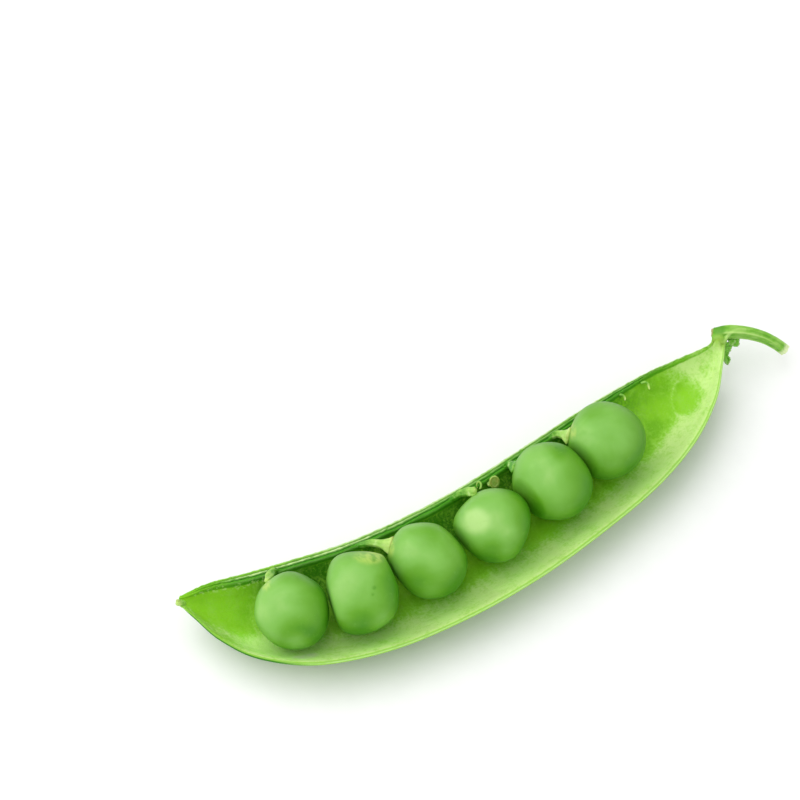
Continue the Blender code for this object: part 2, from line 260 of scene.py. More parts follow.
# Between two peas: the first one's share of the room, and how far the plane between them leans
PEA_JOINS = ((0.538, 0.0), (0.50, 0.25), (0.50, 0.0), (0.528, -0.2), (0.505, -0.2))

# Torn sepals: where each hangs, then its left and right edges, down from there, in millimetres to
# the right and up as the camera sees them, and how far its tip leans away
SEPALS = (
    (
        (45.72, 9.62, 4.95),
        (
            (-0.45, 0.35), (-0.42, -0.30), (-0.50, -0.95), (-0.58, -1.50), (-0.50, -2.05),
            (-0.30, -2.50), (-0.02, -2.72),
        ),
        (
            (0.72, 0.30), (0.62, -0.25), (0.42, -0.70), (0.22, -1.05), (0.10, -1.55),
            (0.42, -1.98), (0.06, -2.72),
        ),
        0.5,
    ),
    (
        (47.05, 9.72, 5.30),
        ((-0.60, 0.45), (-0.55, -0.10), (-0.42, -0.45), (-0.55, -0.75), (-0.30, -0.98)),
        ((0.62, 0.50), (0.55, 0.00), (0.45, -0.40), (0.48, -0.72), (0.30, -1.05)),
        0.2,
    ),
    (
        (46.35, 9.62, 5.20),
        ((-0.50, 0.35), (-0.40, -0.10), (-0.35, -0.35), (-0.15, -0.60)),
        ((0.50, 0.35), (0.45, -0.05), (0.20, -0.25), (0.00, -0.62)),
        0.1,
    ),
    (
        (45.55, 9.90, 4.55),
        ((-0.60, 0.30), (-0.65, -0.30), (-0.50, -0.80), (-0.20, -1.25)),
        ((0.60, 0.30), (0.50, -0.20), (0.30, -0.60), (0.00, -1.30)),
        0.9,
    ),
)

# The camera, as the photograph was taken
VIEW_AZIMUTH = -28.674
VIEW_ELEVATION = 57.0
VIEW_AIM = (3.277, 26.128, 0.0)
SENSOR_WIDTH = 36.0

# Lights: the way from the pod, its distance and size in metres
KEY_PLACE = ((-0.42, 0.28, 0.86), 0.6, 0.85)
FILL_PLACE = ((0.55, -0.70, 0.55), 0.7, 0.7)
FLOOR_HALF = 3.0


def colour(name, default, description):
    """A colour that a user can change, in linear red, green and blue."""
    return FloatVectorProperty(
        name=name, description=description, default=default, subtype="COLOR", size=3, min=0.0, max=1.0
    )


def length(name, default, description):
    """A size that a user can change, in metres."""
    return FloatProperty(
        name=name, description=description, default=default, min=0.0, unit="LENGTH", precision=5
    )


class PodSizes(bpy.types.PropertyGroup):
    """Sizes of the pod wall and what grows on it."""

    rim_height: length("Rim height", 0.0059, "Height of the two seams above the table")
    floor_wall: length("Floor thickness", 0.0013, "Thickness of the wall under the peas")
    pea_bulge: length("Pea bulge", 0.00028, "How far the wall swells over each pea")
    pea_dent: length("Pea dent", 0.00012, "Depth of the hollow that each pea pressed in the wall")
    print_depth: length("Print depth", 0.00014, "Depth of the print of the lost pea")
    wrinkle: length("Wrinkle", 0.00004, "Height of the soft wrinkles inside")
    seed_stalk: length("Seed stalk radius", 0.00030, "Radius of a seed stalk at its middle")
    sepal_wall: length("Sepal thickness", 0.00022, "Thickness of a torn sepal")
    stalk_rib: length("Stalk ribs", 0.00006, "Height of the stalk's ribs")


class PodColours(bpy.types.PropertyGroup):
    """Colours of the pod, its peas, stalk and calyx."""

    inside: colour("Inside", (0.155, 0.440, 0.008), "Wall inside the pod")
    inside_bright: colour("Inside bright", (0.270, 0.620, 0.018), "Wall where light comes through")
    # Painted shade under the seed cord and round the peas
    inside_shade: colour("Inside deep", (0.034, 0.215, 0.004), "Wall under the seed cord")
    # Painted light added where the peas shade the wall
    inside_glow: colour("Inside glow", (0.045, 0.170, 0.0), "Light through the wall by the peas")
    inside_mid: colour("Inside middle", (0.295, 0.630, 0.050), "Wall where it turns pale")
    inside_pale: colour("Inside pale", (0.570, 0.800, 0.270), "Pale lining near the back seam")
    outside: colour("Outside", (0.170, 0.400, 0.035), "Skin of the pod")
    outside_bloom: colour("Bloom", (0.400, 0.590, 0.240), "Waxy bloom on the skin")
    rim: colour("Rim", (0.310, 0.600, 0.090), "Edge of the wall")
    # Pale line along the rims' outer edges, partly a painted highlight on the cut edge; also the
    # colour of the scuffs
    lip: colour("Lip", (0.720, 0.860, 0.520), "Pale thread along the outer edge of the rims")
    # Also the painted shade on the outer wall along the back rim at the tip
    groove: colour("Groove", (0.030, 0.190, 0.008), "Dark grooves beside the seed cord")
    cord: colour("Seed cord", (0.065, 0.310, 0.008), "Cord that feeds the seeds")
    cord_light: colour("Cord light", (0.600, 0.800, 0.350), "Pale threads of the seed cord")
    seed_stalk: colour("Seed stalk", (0.500, 0.720, 0.180), "Short stalks of the peas")
    dry: colour("Dry thread", (0.240, 0.260, 0.025), "Dry brown ends of the seed stalks")
    pea: colour("Pea", (0.125, 0.365, 0.015), "Skin of a pea")
    # Painted light on the side towards the key light, and random lighter flecks
    pea_lit_and_flecks: colour("Pea light", (0.212, 0.495, 0.078), "Lighter clouds in a pea's skin")
    # Painted highlight on a pea
    pea_highlight: colour("Pea glow", (0.475, 0.720, 0.245), "Palest spots in a pea's skin")
    # Painted shade on the side away from the key light and in dark patches, and the small dark spots
    pea_shade_and_spots: colour("Pea deep", (0.060, 0.260, 0.003), "Deeper clouds in a pea's skin")
    scar: colour("Scar", (0.430, 0.620, 0.110), "Scar where a pea was held")
    small_seed: colour("Small seed", (0.125, 0.255, 0.004), "The seed that never grew")
    stalk: colour("Stalk", (0.165, 0.450, 0.025), "Stalk of the pod")
    stalk_rib: colour("Stalk ribs", (0.480, 0.720, 0.200), "Pale ribs along the stalk")
    stalk_groove: colour("Stalk grooves", (0.095, 0.330, 0.010), "Dark grooves of the stalk")
    neck: colour("Neck", (0.260, 0.480, 0.050), "Neck between the pod and its stalk")
    torn: colour("Torn corner", (0.420, 0.330, 0.130), "Brown torn corner of the stalk")
    pith: colour("Pith", (0.720, 0.830, 0.450), "Cut end of the stalk")
    sepal: colour("Sepal", (0.170, 0.500, 0.030), "Torn sepals")
    sepal_dry: colour("Dry sepal", (0.360, 0.590, 0.180), "Dry edges of the sepals")


class StageSettings(bpy.types.PropertyGroup):
    """Floor, lights and camera."""

    floor: colour("Floor", (0.925, 0.930, 0.925), "Colour of the floor")
    sky: FloatProperty(name="Sky", description="Strength of the even light", default=0.62, min=0.0)
    key: FloatProperty(
        name="Key", description="Power of the key light", default=3.7, min=0.0, unit="POWER"
    )
    fill: FloatProperty(
        name="Fill", description="Power of the fill light", default=0.8, min=0.0, unit="POWER"
    )
    lens: FloatProperty(
        name="Lens", description="Focal length in millimetres", default=130.281, min=1.0
    )
    distance: length("Camera distance", 0.4, "Distance from the camera to its aim")


# Curves and masks


def smooth_through(points, places):
    """The smooth curve through the points, read at places counted in points."""
    known = np.array(points, float)
    last = len(known) - 1
    padded = np.vstack((2 * known[0] - known[1], known, 2 * known[last] - known[last - 1]))
    index = np.clip(np.floor(places).astype(int), 0, last - 1)
    t = (places - index)[:, None]
    a, b, c, d = (padded[index + k] for k in range(4))
    return 0.5 * (
        2 * b + (c - a) * t + (2 * a - 5 * b + 4 * c - d) * t**2 + (3 * b - a - 3 * c + d) * t**3
    )


def resampled(points, count):
    """The smooth curve through the points as a number of even steps."""
    return smooth_through(points, np.linspace(0, len(points) - 1, count))


def ramp(value, start, end):
    """Rises smoothly from 0 at start to 1 at end."""
    t = np.clip((value - start) / (end - start), 0.0, 1.0)
    return t * t * (3 - 2 * t)


def hill(value, middle, width):
    """A soft hill of height 1."""
    return np.exp(-(((value - middle) / width) ** 2))


def clouds(points, scale, seed):
    """Soft noise from -1 to 1 at each point, with clouds of the given size in millimetres."""
    flat = points.reshape(-1, 3) / scale + seed * 7.3
    values = [noise.noise(Vector(point)) for point in flat]
    return np.array(values).reshape(points.shape[:-1])


def cord_point(place, rim_height):
    """The middle of the seed cord at a place along the stations."""
    back_x, back_y, seed_x, seed_y, _ = smooth_through(STATIONS, np.array([float(place)]))[0]
    seam = Vector((seed_x, seed_y, rim_height + CORD_RISE))
    inward = Vector((back_x - seed_x, back_y - seed_y, 0.0)).normalized()
    return seam + inward * CORD_INSET


def pea_balls():
    """Centre and radius of each pea's ball, in millimetres, from its solid."""
    balls = []
    for node in PEA_NODES:
        low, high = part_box(node)
        centre = (low + high) / 2 / MM
        radius = (high.y - low.y) / 2 / MM
        centre.x = low.x / MM + radius if node == PEA_NODES[0] else centre.x
        balls.append((centre, radius))
    return balls


# Meshes


def rolled(name, rings, marks):
    """Rolls a grid up into a closed skin. rings holds every point, in millimetres, ring by ring."""
    rows, columns = rings.shape[:2]
    shape = bmesh.new()
    bmesh.ops.create_grid(shape, x_segments=rows - 1, y_segments=columns, size=1.0)
    layers = [(shape.verts.layers.float.new(mark), values) for mark, values in marks.items()]
    for vert in shape.verts:
        row = round((vert.co.x + 1) / 2 * (rows - 1))
        column = round((vert.co.y + 1) / 2 * columns) % columns
        vert.co = rings[row, column] * MM
        for layer, values in layers:
            vert[layer] = values[row, column]
    bmesh.ops.remove_doubles(shape, verts=shape.verts, dist=1e-8)
    ends = [edge for edge in shape.edges if edge.is_boundary]
    bmesh.ops.holes_fill(shape, edges=ends, sides=0)
    return finished(name, shape)


def finished(name, shape):
    """Turns a bmesh into a smooth-shaded object with its faces pointing outwards."""
    bmesh.ops.recalc_face_normals(shape, faces=shape.faces)
    mesh = bpy.data.meshes.new(name)
    shape.to_mesh(mesh)
    shape.free()
    mesh.shade_smooth()
    piece = bpy.data.objects.new(name, mesh)
    bpy.context.scene.collection.objects.link(piece)
    return piece


def tube(name, line, sides, marks=None, swell=None, upright=(0.0, 0.0, 1.0)):
    """A closed tube along a line. Each of its masks is a function of the share along."""
    rings = tube_rings(line, sides, swell, upright)
    along = np.concatenate((np.zeros(CAP_ROWS), np.linspace(0, 1, len(line)), np.ones(CAP_ROWS)))
    along = np.repeat(along[:, None], sides, axis=1)
    return rolled(name, rings, {mark: mask(along) for mark, mask in (marks or {}).items()})


def tube_rings(line, sides, swell, upright):
    """Rings round a line of x, y, z and radius, with rounded ends.

    A fifth value is the half thickness along upright. swell changes both: it is a function of the
    share along and the angle round.
    """
    centres = line[:, :3]
    wide = line[:, 3]
    thick = line[:, 4] if line.shape[1] > 4 else wide
    tangents = np.gradient(centres, axis=0)
    tangents /= np.linalg.norm(tangents, axis=1)[:, None]
    turns = np.linspace(0, 2 * np.pi, sides, endpoint=False)
    reach = np.linspace(0, 1, len(line))
    swells = np.ones((len(line), sides)) if swell is None else swell(reach[:, None], turns[None, :])
    rings = []

    def ring(row, scale, shift):
        aside, up = cross_ways(tangents[row], upright)
        spread = swells[row] * scale
        across = (np.cos(turns) * spread * wide[row])[:, None] * aside
        upward = (np.sin(turns) * spread * thick[row])[:, None] * up
        rings.append(centres[row] + tangents[row] * shift * thick[row] + across + upward)

    def cap_ring(row, step, shift):
        bend = math.pi / 2 * step / (CAP_ROWS + 0.3)
        ring(row, math.cos(bend), shift * math.sin(bend))

    for step in range(CAP_ROWS, 0, -1):
        cap_ring(0, step, -0.7)
    for row in range(len(line)):
        ring(row, 1.0, 0.0)
    for step in range(1, CAP_ROWS + 1):
        cap_ring(len(line) - 1, step, 0.7)
    return np.array(rings)


def cross_ways(tangent, upright):
    """Two ways at right angles to a line: aside, and the nearest one to upright."""
    aside = np.cross(tangent, upright)
    aside /= np.linalg.norm(aside)
    return aside, np.cross(aside, tangent)


def set_points(shape, points, marks, centre=Vector()):
    """Moves a mesh's points, in millimetres from a centre, and stores masks on them."""
    layers = [(shape.verts.layers.float.new(mark), values) for mark, values in marks.items()]
    for index, vert in enumerate(shape.verts):
        vert.co = (Vector(points[index]) + centre) * MM
        for layer, values in layers:
            vert[layer] = values[index]


def melted(name, parts, voxel, passes):
    """The mesh of overlapping parts melted into one skin with soft joints."""
    joined = join_meshes(name, parts)
    melt = joined.modifiers.new("melt", "REMESH")
    melt.mode = "VOXEL"
    melt.voxel_size = voxel
    ease = joined.modifiers.new("ease", "SMOOTH")
    ease.factor = 0.5
    ease.iterations = passes
    bpy.context.view_layer.update()
    skin = joined.evaluated_get(bpy.context.evaluated_depsgraph_get())
    shape = bmesh.new()
    shape.from_mesh(skin.to_mesh())
    skin.to_mesh_clear()
    bpy.data.objects.remove(joined, do_unlink=True)
    return shape


def camera_ways():
    """The ways to the right, up and towards the camera."""
    azimuth, elevation = math.radians(VIEW_AZIMUTH), math.radians(VIEW_ELEVATION)
    right = Vector((math.cos(azimuth), math.sin(azimuth), 0.0))
    flat = math.cos(elevation)
    toward = Vector((math.sin(azimuth) * flat, -math.cos(azimuth) * flat, math.sin(elevation)))
    return right, toward.cross(right), toward


def join_meshes(name, parts):
    """Joins separate objects into one piece."""
    shape = bmesh.new()
    for part in parts:
        shape.from_mesh(part.data)
        bpy.data.objects.remove(part, do_unlink=True)
    return finished(name, shape)


def place_piece(piece, slot, look, *nodes):
    """Gives a piece its material and its place on the pod's one body."""
    piece.data.materials.clear()
    piece.data.materials.append(look)
    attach(piece, BODY)
    if nodes:
        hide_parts(*nodes)


# Material parts


class Paint:
    """A node material under construction, with short calls for the nodes that plants need."""

    def __init__(self, name):
        self.material = bpy.data.materials.new(name)
        self.material.use_nodes = True
        self.tree = self.material.node_tree
        self.shader = self.tree.nodes["Principled BSDF"]
        self.place = self.add("ShaderNodeTexCoord").outputs["Object"]

    def add(self, kind, inputs=None, **settings):
        node = self.tree.nodes.new(kind)
        for key, value in settings.items():
            setattr(node, key, value)
        for key, value in (inputs or {}).items():
            self.put(node.inputs[key], value)
        return node

    def put(self, socket, value):
        if isinstance(value, bpy.types.NodeSocket):
            self.tree.links.new(value, socket)
        elif socket.type == "RGBA":
            socket.default_value = (*value, 1.0)
        else:
            socket.default_value = value

    def mark(self, name):
        """A mask stored on the piece's points."""
        return self.add("ShaderNodeAttribute", attribute_name=name).outputs["Fac"]

    def noise(self, scale, detail=3.0, rough=0.5, stretch=None, distortion=0.0):
        """Noise on Object coordinates, which may be stretched by three numbers."""
        place = self.place
        if stretch is not None:
            mapping = self.add("ShaderNodeMapping", {"Vector": place, "Scale": stretch})
            place = mapping.outputs["Vector"]
        inputs = {
            "Vector": place,
            "Scale": scale,
            "Detail": detail,
            "Roughness": rough,
            "Distortion": distortion,
        }
        return self.add("ShaderNodeTexNoise", inputs).outputs["Fac"]

    def ramp(self, value, start, end, low=0.0, high=1.0):
        inputs = {"Value": value, "From Min": start, "From Max": end, "To Min": low, "To Max": high}
        node = self.add("ShaderNodeMapRange", inputs, interpolation_type="SMOOTHSTEP")
        return node.outputs["Result"]

    def math(self, operation, first, second):
        node = self.add("ShaderNodeMath", operation=operation)
        self.put(node.inputs[0], first)
        self.put(node.inputs[1], second)
        return node.outputs[0]

    def patchy(self, mark, value, start, end, low=0.0, high=1.0):
        """A stored mask times a ramp of a noise."""
        return self.math("MULTIPLY", self.mark(mark), self.ramp(value, start, end, low, high))

    def loosened(self, mark, *noises):
        """A stored mask whose edge is broken up by noises, each by its own amount."""
        total = self.mark(mark)
        for value, amount in noises:
            total = self.math("ADD", total, self.ramp(value, 0.3, 0.7, -amount, amount))
        return total

    def mix(self, factor, first, second, blend="MIX"):
        node = self.add("ShaderNodeMix", data_type="RGBA", blend_type=blend)
        self.put(node.inputs[0], factor)
        self.put(node.inputs[6], first)
        self.put(node.inputs[7], second)
        return node.outputs[2]

    def coats(self, base, *coats):
        """Lays colours over a base, one after the other, each by its own mask."""
        for factor, colour_over in coats:
            base = self.mix(factor, base, colour_over)
        return base

    def bump(self, height, distance, strength):
        inputs = {"Height": height, "Distance": distance, "Strength": strength}
        return self.add("ShaderNodeBump", inputs).outputs["Normal"]

    def finish(self, base, roughness, normal=None, gloss=None, subsurface=0.0, depth=0.0):
        """Sets the shader: colour, roughness and normal may be linked, the rest are plain values."""
        self.put(self.shader.inputs["Base Color"], base)
        self.put(self.shader.inputs["Roughness"], roughness)
        if normal is not None:
            self.put(self.shader.inputs["Normal"], normal)
        if gloss is not None:
            self.shader.inputs["Specular IOR Level"].default_value = gloss
        self.shader.inputs["Subsurface Weight"].default_value = subsurface
        self.shader.inputs["Subsurface Radius"].default_value = (0.8, 1.0, 0.35)
        self.shader.inputs["Subsurface Scale"].default_value = depth
        return self.material


def pod_look(colours):
    """The pod wall: moist and grained inside, waxy outside, pale at its seams and ends, with painted
    shade under the seed cord and round the peas and painted light where the peas shade it.
    """
    paint = Paint("pod_wall")
    cloud = paint.noise(260, 4, 0.6)
    streak = paint.noise(520, 4, 0.6, (1.0, 0.35, 1.0))
    grain = paint.noise(2600, 3, 0.65)
    fine = paint.noise(5200, 2, 0.6)
    mottle = paint.noise(900, 5, 0.7, distortion=0.6)
    net = paint.noise(340, 4, 0.65, (0.35, 1.0, 1.0))
    threads = paint.noise(1700, 4, 0.7, (0.35, 1.0, 1.0), 0.8)

    # Painted shade under the seed cord and round the peas, speckled with the plain inside colour
    deep = paint.ramp(paint.loosened("deep", (grain, 0.30), (streak, 0.15)), 0.08, 0.95)
    speckled = paint.ramp(fine, 0.58, 0.70, 0.0, 0.55)
    shade_skin = paint.mix(speckled, colours.inside_shade, colours.inside)
    pale = paint.loosened("pale", (streak, 0.22), (grain, 0.18))
    inner = paint.coats(
        colours.inside,
        (paint.ramp(cloud, 0.32, 0.68, 0.1, 0.75), colours.inside_bright),
        (paint.ramp(streak, 0.5, 0.75, 0.0, 0.35), colours.inside_bright),
        (paint.mark("bright"), colours.inside_bright),
        (deep, shade_skin),
        (paint.ramp(pale, -0.15, 0.55), colours.inside_mid),
        (paint.ramp(pale, 0.30, 1.05), colours.inside_pale),
        (paint.ramp(mottle, 0.50, 0.70, 0.0, 0.45), colours.inside_mid),
        (paint.ramp(fine, 0.60, 0.72, 0.0, 0.35), colours.inside_mid),
    )
    # Painted light: green added to the wall where the peas shade it
    inner = paint.mix(paint.mark("shade"), inner, colours.inside_glow, "ADD")
    inner = paint.mix(paint.patchy("scuff", streak, 0.35, 0.6, 0.2, 0.8), inner, colours.lip)

    bloom = paint.ramp(paint.noise(150, 5, 0.6, distortion=0.4), 0.42, 0.72, 0.0, 0.75)
    outer = paint.coats(
        colours.outside,
        (bloom, colours.outside_bloom),
        (paint.ramp(net, 0.52, 0.72, 0.0, 0.4), colours.inside),
        (paint.ramp(grain, 0.62, 0.74, 0.0, 0.3), colours.inside_pale),
    )
    rim = paint.mix(paint.ramp(streak, 0.35, 0.65, 0.0, 0.6), colours.rim, colours.inside_mid)
    beads = paint.noise(2300, 1)
    base = paint.coats(
        inner,
        (paint.mark("outside"), outer),
        (paint.mark("rim"), rim),
        (paint.mark("cord"), colours.cord),
        (paint.patchy("cord_edge", threads, 0.32, 0.56, 0.1), colours.cord_light),
        # Dark grooves, and painted shade on the outer wall at the tip
        (paint.mark("groove"), colours.groove),
        (paint.patchy("lip", threads, 0.34, 0.56, 0.35), colours.lip),
        (paint.patchy("beads", beads, 0.50, 0.66, 0.0, 0.6), colours.inside_pale),
        (paint.mark("neck"), colours.neck),
    )

    roughness = paint.ramp(paint.patchy("deep", fine, 0.5, 0.7), 0.0, 1.0, 0.48, 0.22)
    height = paint.math("MULTIPLY", grain, 0.7)
    height = paint.math("ADD", height, paint.math("MULTIPLY", streak, 0.9))
    height = paint.math("ADD", height, paint.math("MULTIPLY", fine, 0.35))
    normal = paint.bump(height, 0.00012, 0.6)
    return paint.finish(base, roughness, normal, 0.13, subsurface=0.2, depth=0.0006)


def pea_look(colours):
    """A pea's skin: satin, softly clouded, with painted light: paler towards the key light, with
    painted highlights and reflected light, darker in painted shade.
    """
    paint = Paint("pea_skin")
    cloud = paint.noise(190, 3, 0.5, distortion=0.3)
    fine = paint.noise(1400, 4, 0.65)
    patch = paint.noise(1500, 4, 0.6, (1.0, 0.4, 0.6))
    # Painted light and shade: lighter towards the key light, with painted highlights and reflected
    # light in the patches, darker in painted shade
    painted_light = paint.loosened("painted_light", (cloud, 0.16))
    base = paint.coats(
        colours.pea_shade_and_spots,
        (paint.ramp(painted_light, -0.1, 0.60), colours.pea),
        (paint.ramp(painted_light, 0.40, 1.15), colours.pea_lit_and_flecks),
        (paint.ramp(painted_light, 1.00, 1.70, 0.0, 0.8), colours.pea_highlight),
        (paint.ramp(fine, 0.55, 0.75, 0.0, 0.22), colours.pea_lit_and_flecks),
        (paint.patchy("scar", patch, 0.35, 0.6, 0.15, 0.85), colours.scar),
        (paint.mark("spot"), colours.pea_shade_and_spots),
    )
    roughness = paint.ramp(fine, 0.3, 0.7, 0.40, 0.50)
    normal = paint.bump(paint.math("ADD", fine, cloud), 0.00005, 0.5)
    return paint.finish(base, roughness, normal, 0.32, subsurface=0.25, depth=0.0010)


def seed_stalk_look(colours):
    """Seed stalks: green where they leave the cord, pale and stringy at their ends."""
    paint = Paint("seed_stalk")
    strings = paint.noise(1500, 4, 0.6, (0.4, 0.6, 1.0))
    reach = paint.loosened("reach", (strings, 0.18))
    base = paint.coats(
        colours.cord,
        (paint.ramp(reach, 0.05, 0.5), colours.rim),
        (paint.ramp(reach, 0.45, 1.0), colours.seed_stalk),
        (paint.ramp(strings, 0.55, 0.72, 0.0, 0.5), colours.cord_light),
        (paint.mark("dry"), colours.dry),
    )
    normal = paint.bump(strings, 0.0001, 0.6)
    return paint.finish(base, 0.42, normal, 0.35, subsurface=0.2, depth=0.0005)


def small_seed_look(colours):
    """The shrunken seed: olive, with a lighter edge."""
    paint = Paint("small_seed")
    folds = paint.noise(1700, 4, 0.6)
    base = paint.coats(
        colours.small_seed,
        (paint.ramp(folds, 0.40, 0.66, 0.0, 0.6), colours.dry),
        (paint.mark("edge"), colours.scar),
    )
    normal = paint.bump(folds, 0.0001, 0.7)
    return paint.finish(base, 0.45, normal, subsurface=0.1, depth=0.0004)


def stalk_look(colours):
    """The stalk: pale ribs, darker grooves, a brown torn corner and a pale cut end."""
    paint = Paint("stalk_skin")
    fibres = paint.noise(1300, 4, 0.6, (0.35, 0.6, 1.0))
    torn = paint.ramp(paint.math("ADD", paint.mark("torn"), fibres), 0.85, 1.25, 0.0, 0.85)
    base = paint.coats(
        colours.stalk,
        (paint.ramp(fibres, 0.40, 0.7, 0.0, 0.4), colours.stalk_rib),
        (paint.patchy("furrow", fibres, 0.3, 0.6, 1.0, 0.5), colours.stalk_groove),
        (paint.mark("rib"), colours.stalk_rib),
        (paint.mark("neck"), colours.neck),
        (paint.mark("dark"), colours.stalk_groove),
        (torn, colours.torn),
        (paint.mark("pith"), colours.pith),
    )
    normal = paint.bump(fibres, 0.00012, 0.6)
    return paint.finish(base, 0.48, normal, 0.35, subsurface=0.12, depth=0.0005)


def sepal_look(colours):
    """The torn sepals: dull dark green with dry, paler edges."""
    paint = Paint("sepal")
    dry = paint.noise(1400, 5, 0.65)
    base = paint.coats(
        colours.sepal,
        (paint.ramp(dry, 0.52, 0.78), colours.sepal_dry),
        (paint.mark("edge"), colours.sepal_dry),
    )
    normal = paint.bump(dry, 0.00015, 0.7)
    return paint.finish(base, 0.6, normal, subsurface=0.1, depth=0.0003)


def floor_look(settings):
    """The floor: plain and pale, with a trace of paper grain."""
    paint = Paint("floor")
    grain = paint.noise(300, 3, 0.5)
    shaded = tuple(channel * 0.985 for channel in settings.floor)
    return paint.finish(paint.mix(paint.ramp(grain, 0.3, 0.7), settings.floor, shaded), 0.85)


# Pod wall


def spaced(even, share):
    """Even steps from 0 to 1, drawn closer together at both ends."""
    return share * even + (1 - share) * (0.5 - 0.5 * np.cos(np.pi * even))


def section_drop(across):
    """How deep the wall hangs at shares of its width, as a share of its full depth."""
    skewed = across + SECTION_SKEW * across * (1 - across)
    return 1 - np.abs(2 * skewed - 1) ** SECTION_POWER


def wall_rings(sizes, balls):
    """Every point of the pod wall, ring by ring, and the masks that its material reads."""
    place = np.linspace(0, len(STATIONS) - 1, SHELL_ROWS)
    back_x, back_y, seed_x, seed_y, depth = smooth_through(STATIONS, place).T
    back = np.stack((back_x, back_y), axis=1)
    chord = np.stack((seed_x, seed_y), axis=1) - back
    width = np.linalg.norm(chord, axis=1)
    grown = 1 - np.exp(-width / FULL_SECTION)
    neck = ramp(place, NECK_START, NECK_START + 1.4)
    thin = 1 - 0.55 * ramp(place, 8.6, 10.3) - 0.3 * ramp(place, 3.4, 1.4)
    relief = (1 - neck) * ramp(place, 0.2, 2.0)

    across = spaced(np.linspace(0, 1, OUTER_COLUMNS, endpoint=False), 0.35)
    outer_in = across[None, :] * width[:, None]
    outer_up = -depth[:, None] * section_drop(across)[None, :]
    seed_in, seed_up = seed_rim(place, relief, grown, thin)
    seed_in = width[:, None] - seed_in
    back_rim = resampled(BACK_RIM, BACK_RIM_COLUMNS + 1)[:-1]
    back_in = back_rim[None, :, 0] * grown[:, None]
    back_up = back_rim[None, :, 1] * grown[:, None] * (1 + 0.1 * wander(place, 0.3, 7))[:, None]

    floor = sizes.floor_wall / MM * (1 - np.exp(-depth / 1.2))
    hollow = depth - floor - 0.75 * neck
    near = SEED_RIM[-1][0] * grown * thin
    far = BACK_RIM[0][0] * grown
    across = 1 - spaced(np.linspace(0, 1, INNER_COLUMNS + 2)[1:-1], 0.45)
    inner_in = far[:, None] + across[None, :] * (width - near - far)[:, None]
    inner_up = -0.2 * grown[:, None] - (hollow - 0.15)[:, None] * section_drop(across)[None, :]

    inward = np.concatenate((outer_in, seed_in, inner_in, back_in), axis=1)
    upward = np.concatenate((outer_up, seed_up, inner_up, back_up), axis=1)
    start, stop = BACK_RIM_SOFTENED
    for _ in range(BACK_RIM_PASSES):
        for value in (inward, upward):
            before, after = value[:, start - 1 : stop - 1], value[:, start + 1 : stop + 1]
            value[:, start:stop] = (before + 2 * value[:, start:stop] + after) / 4
    rings = np.empty((SHELL_ROWS, COLUMNS, 3))
    way = chord / width[:, None]
    rings[:, :, :2] = back[:, None, :] + way[:, None, :] * inward[:, :, None]
    rings[:, :, 2] = sizes.rim_height / MM + upward

    columns = np.arange(COLUMNS)
    is_outer = columns < OUTER_COLUMNS
    is_inner = (columns >= FIRST_INNER) & (columns < FIRST_BACK)
    span = inward / width[:, None]
    shaped = shape_wall(rings, sizes, balls, is_outer, is_inner, relief, span)
    marks = wall_marks(shaped, place, balls, span, is_outer, is_inner, relief, neck)
    return close_ends(shaped), marks


def seed_rim(place, relief, grown, thin):
    """The rim with the seed cord: how far in from the seam and how high, row by row."""
    rich = resampled(SEED_RIM, SEED_RIM_COLUMNS)
    plain = resampled(PLAIN_SEED_RIM, SEED_RIM_COLUMNS)
    share = rich[None] * relief[:, None, None] + plain[None] * (1 - relief)[:, None, None]
    sway = 0.10 * wander(place, 0.35, 3) + 0.06 * wander(place, 0.09, 4)
    lift = 1 + 0.28 * wander(place, 0.28, 5) + 0.22 * wander(place, 0.08, 6)
    on_cord = ramp(share[:, :, 0], 0.3, 0.9) * ramp(share[:, :, 0], 1.5, 1.3)
    inset = (share[:, :, 0] + on_cord * sway[:, None]) * (grown * thin)[:, None]
    return inset, share[:, :, 1] * grown[:, None] * lift[:, None]


def wander(values, size, seed):
    """Soft noise from -1 to 1 along a line of values."""
    return np.array([noise.noise(Vector((value / size, seed * 3.7, 0.0))) for value in values])


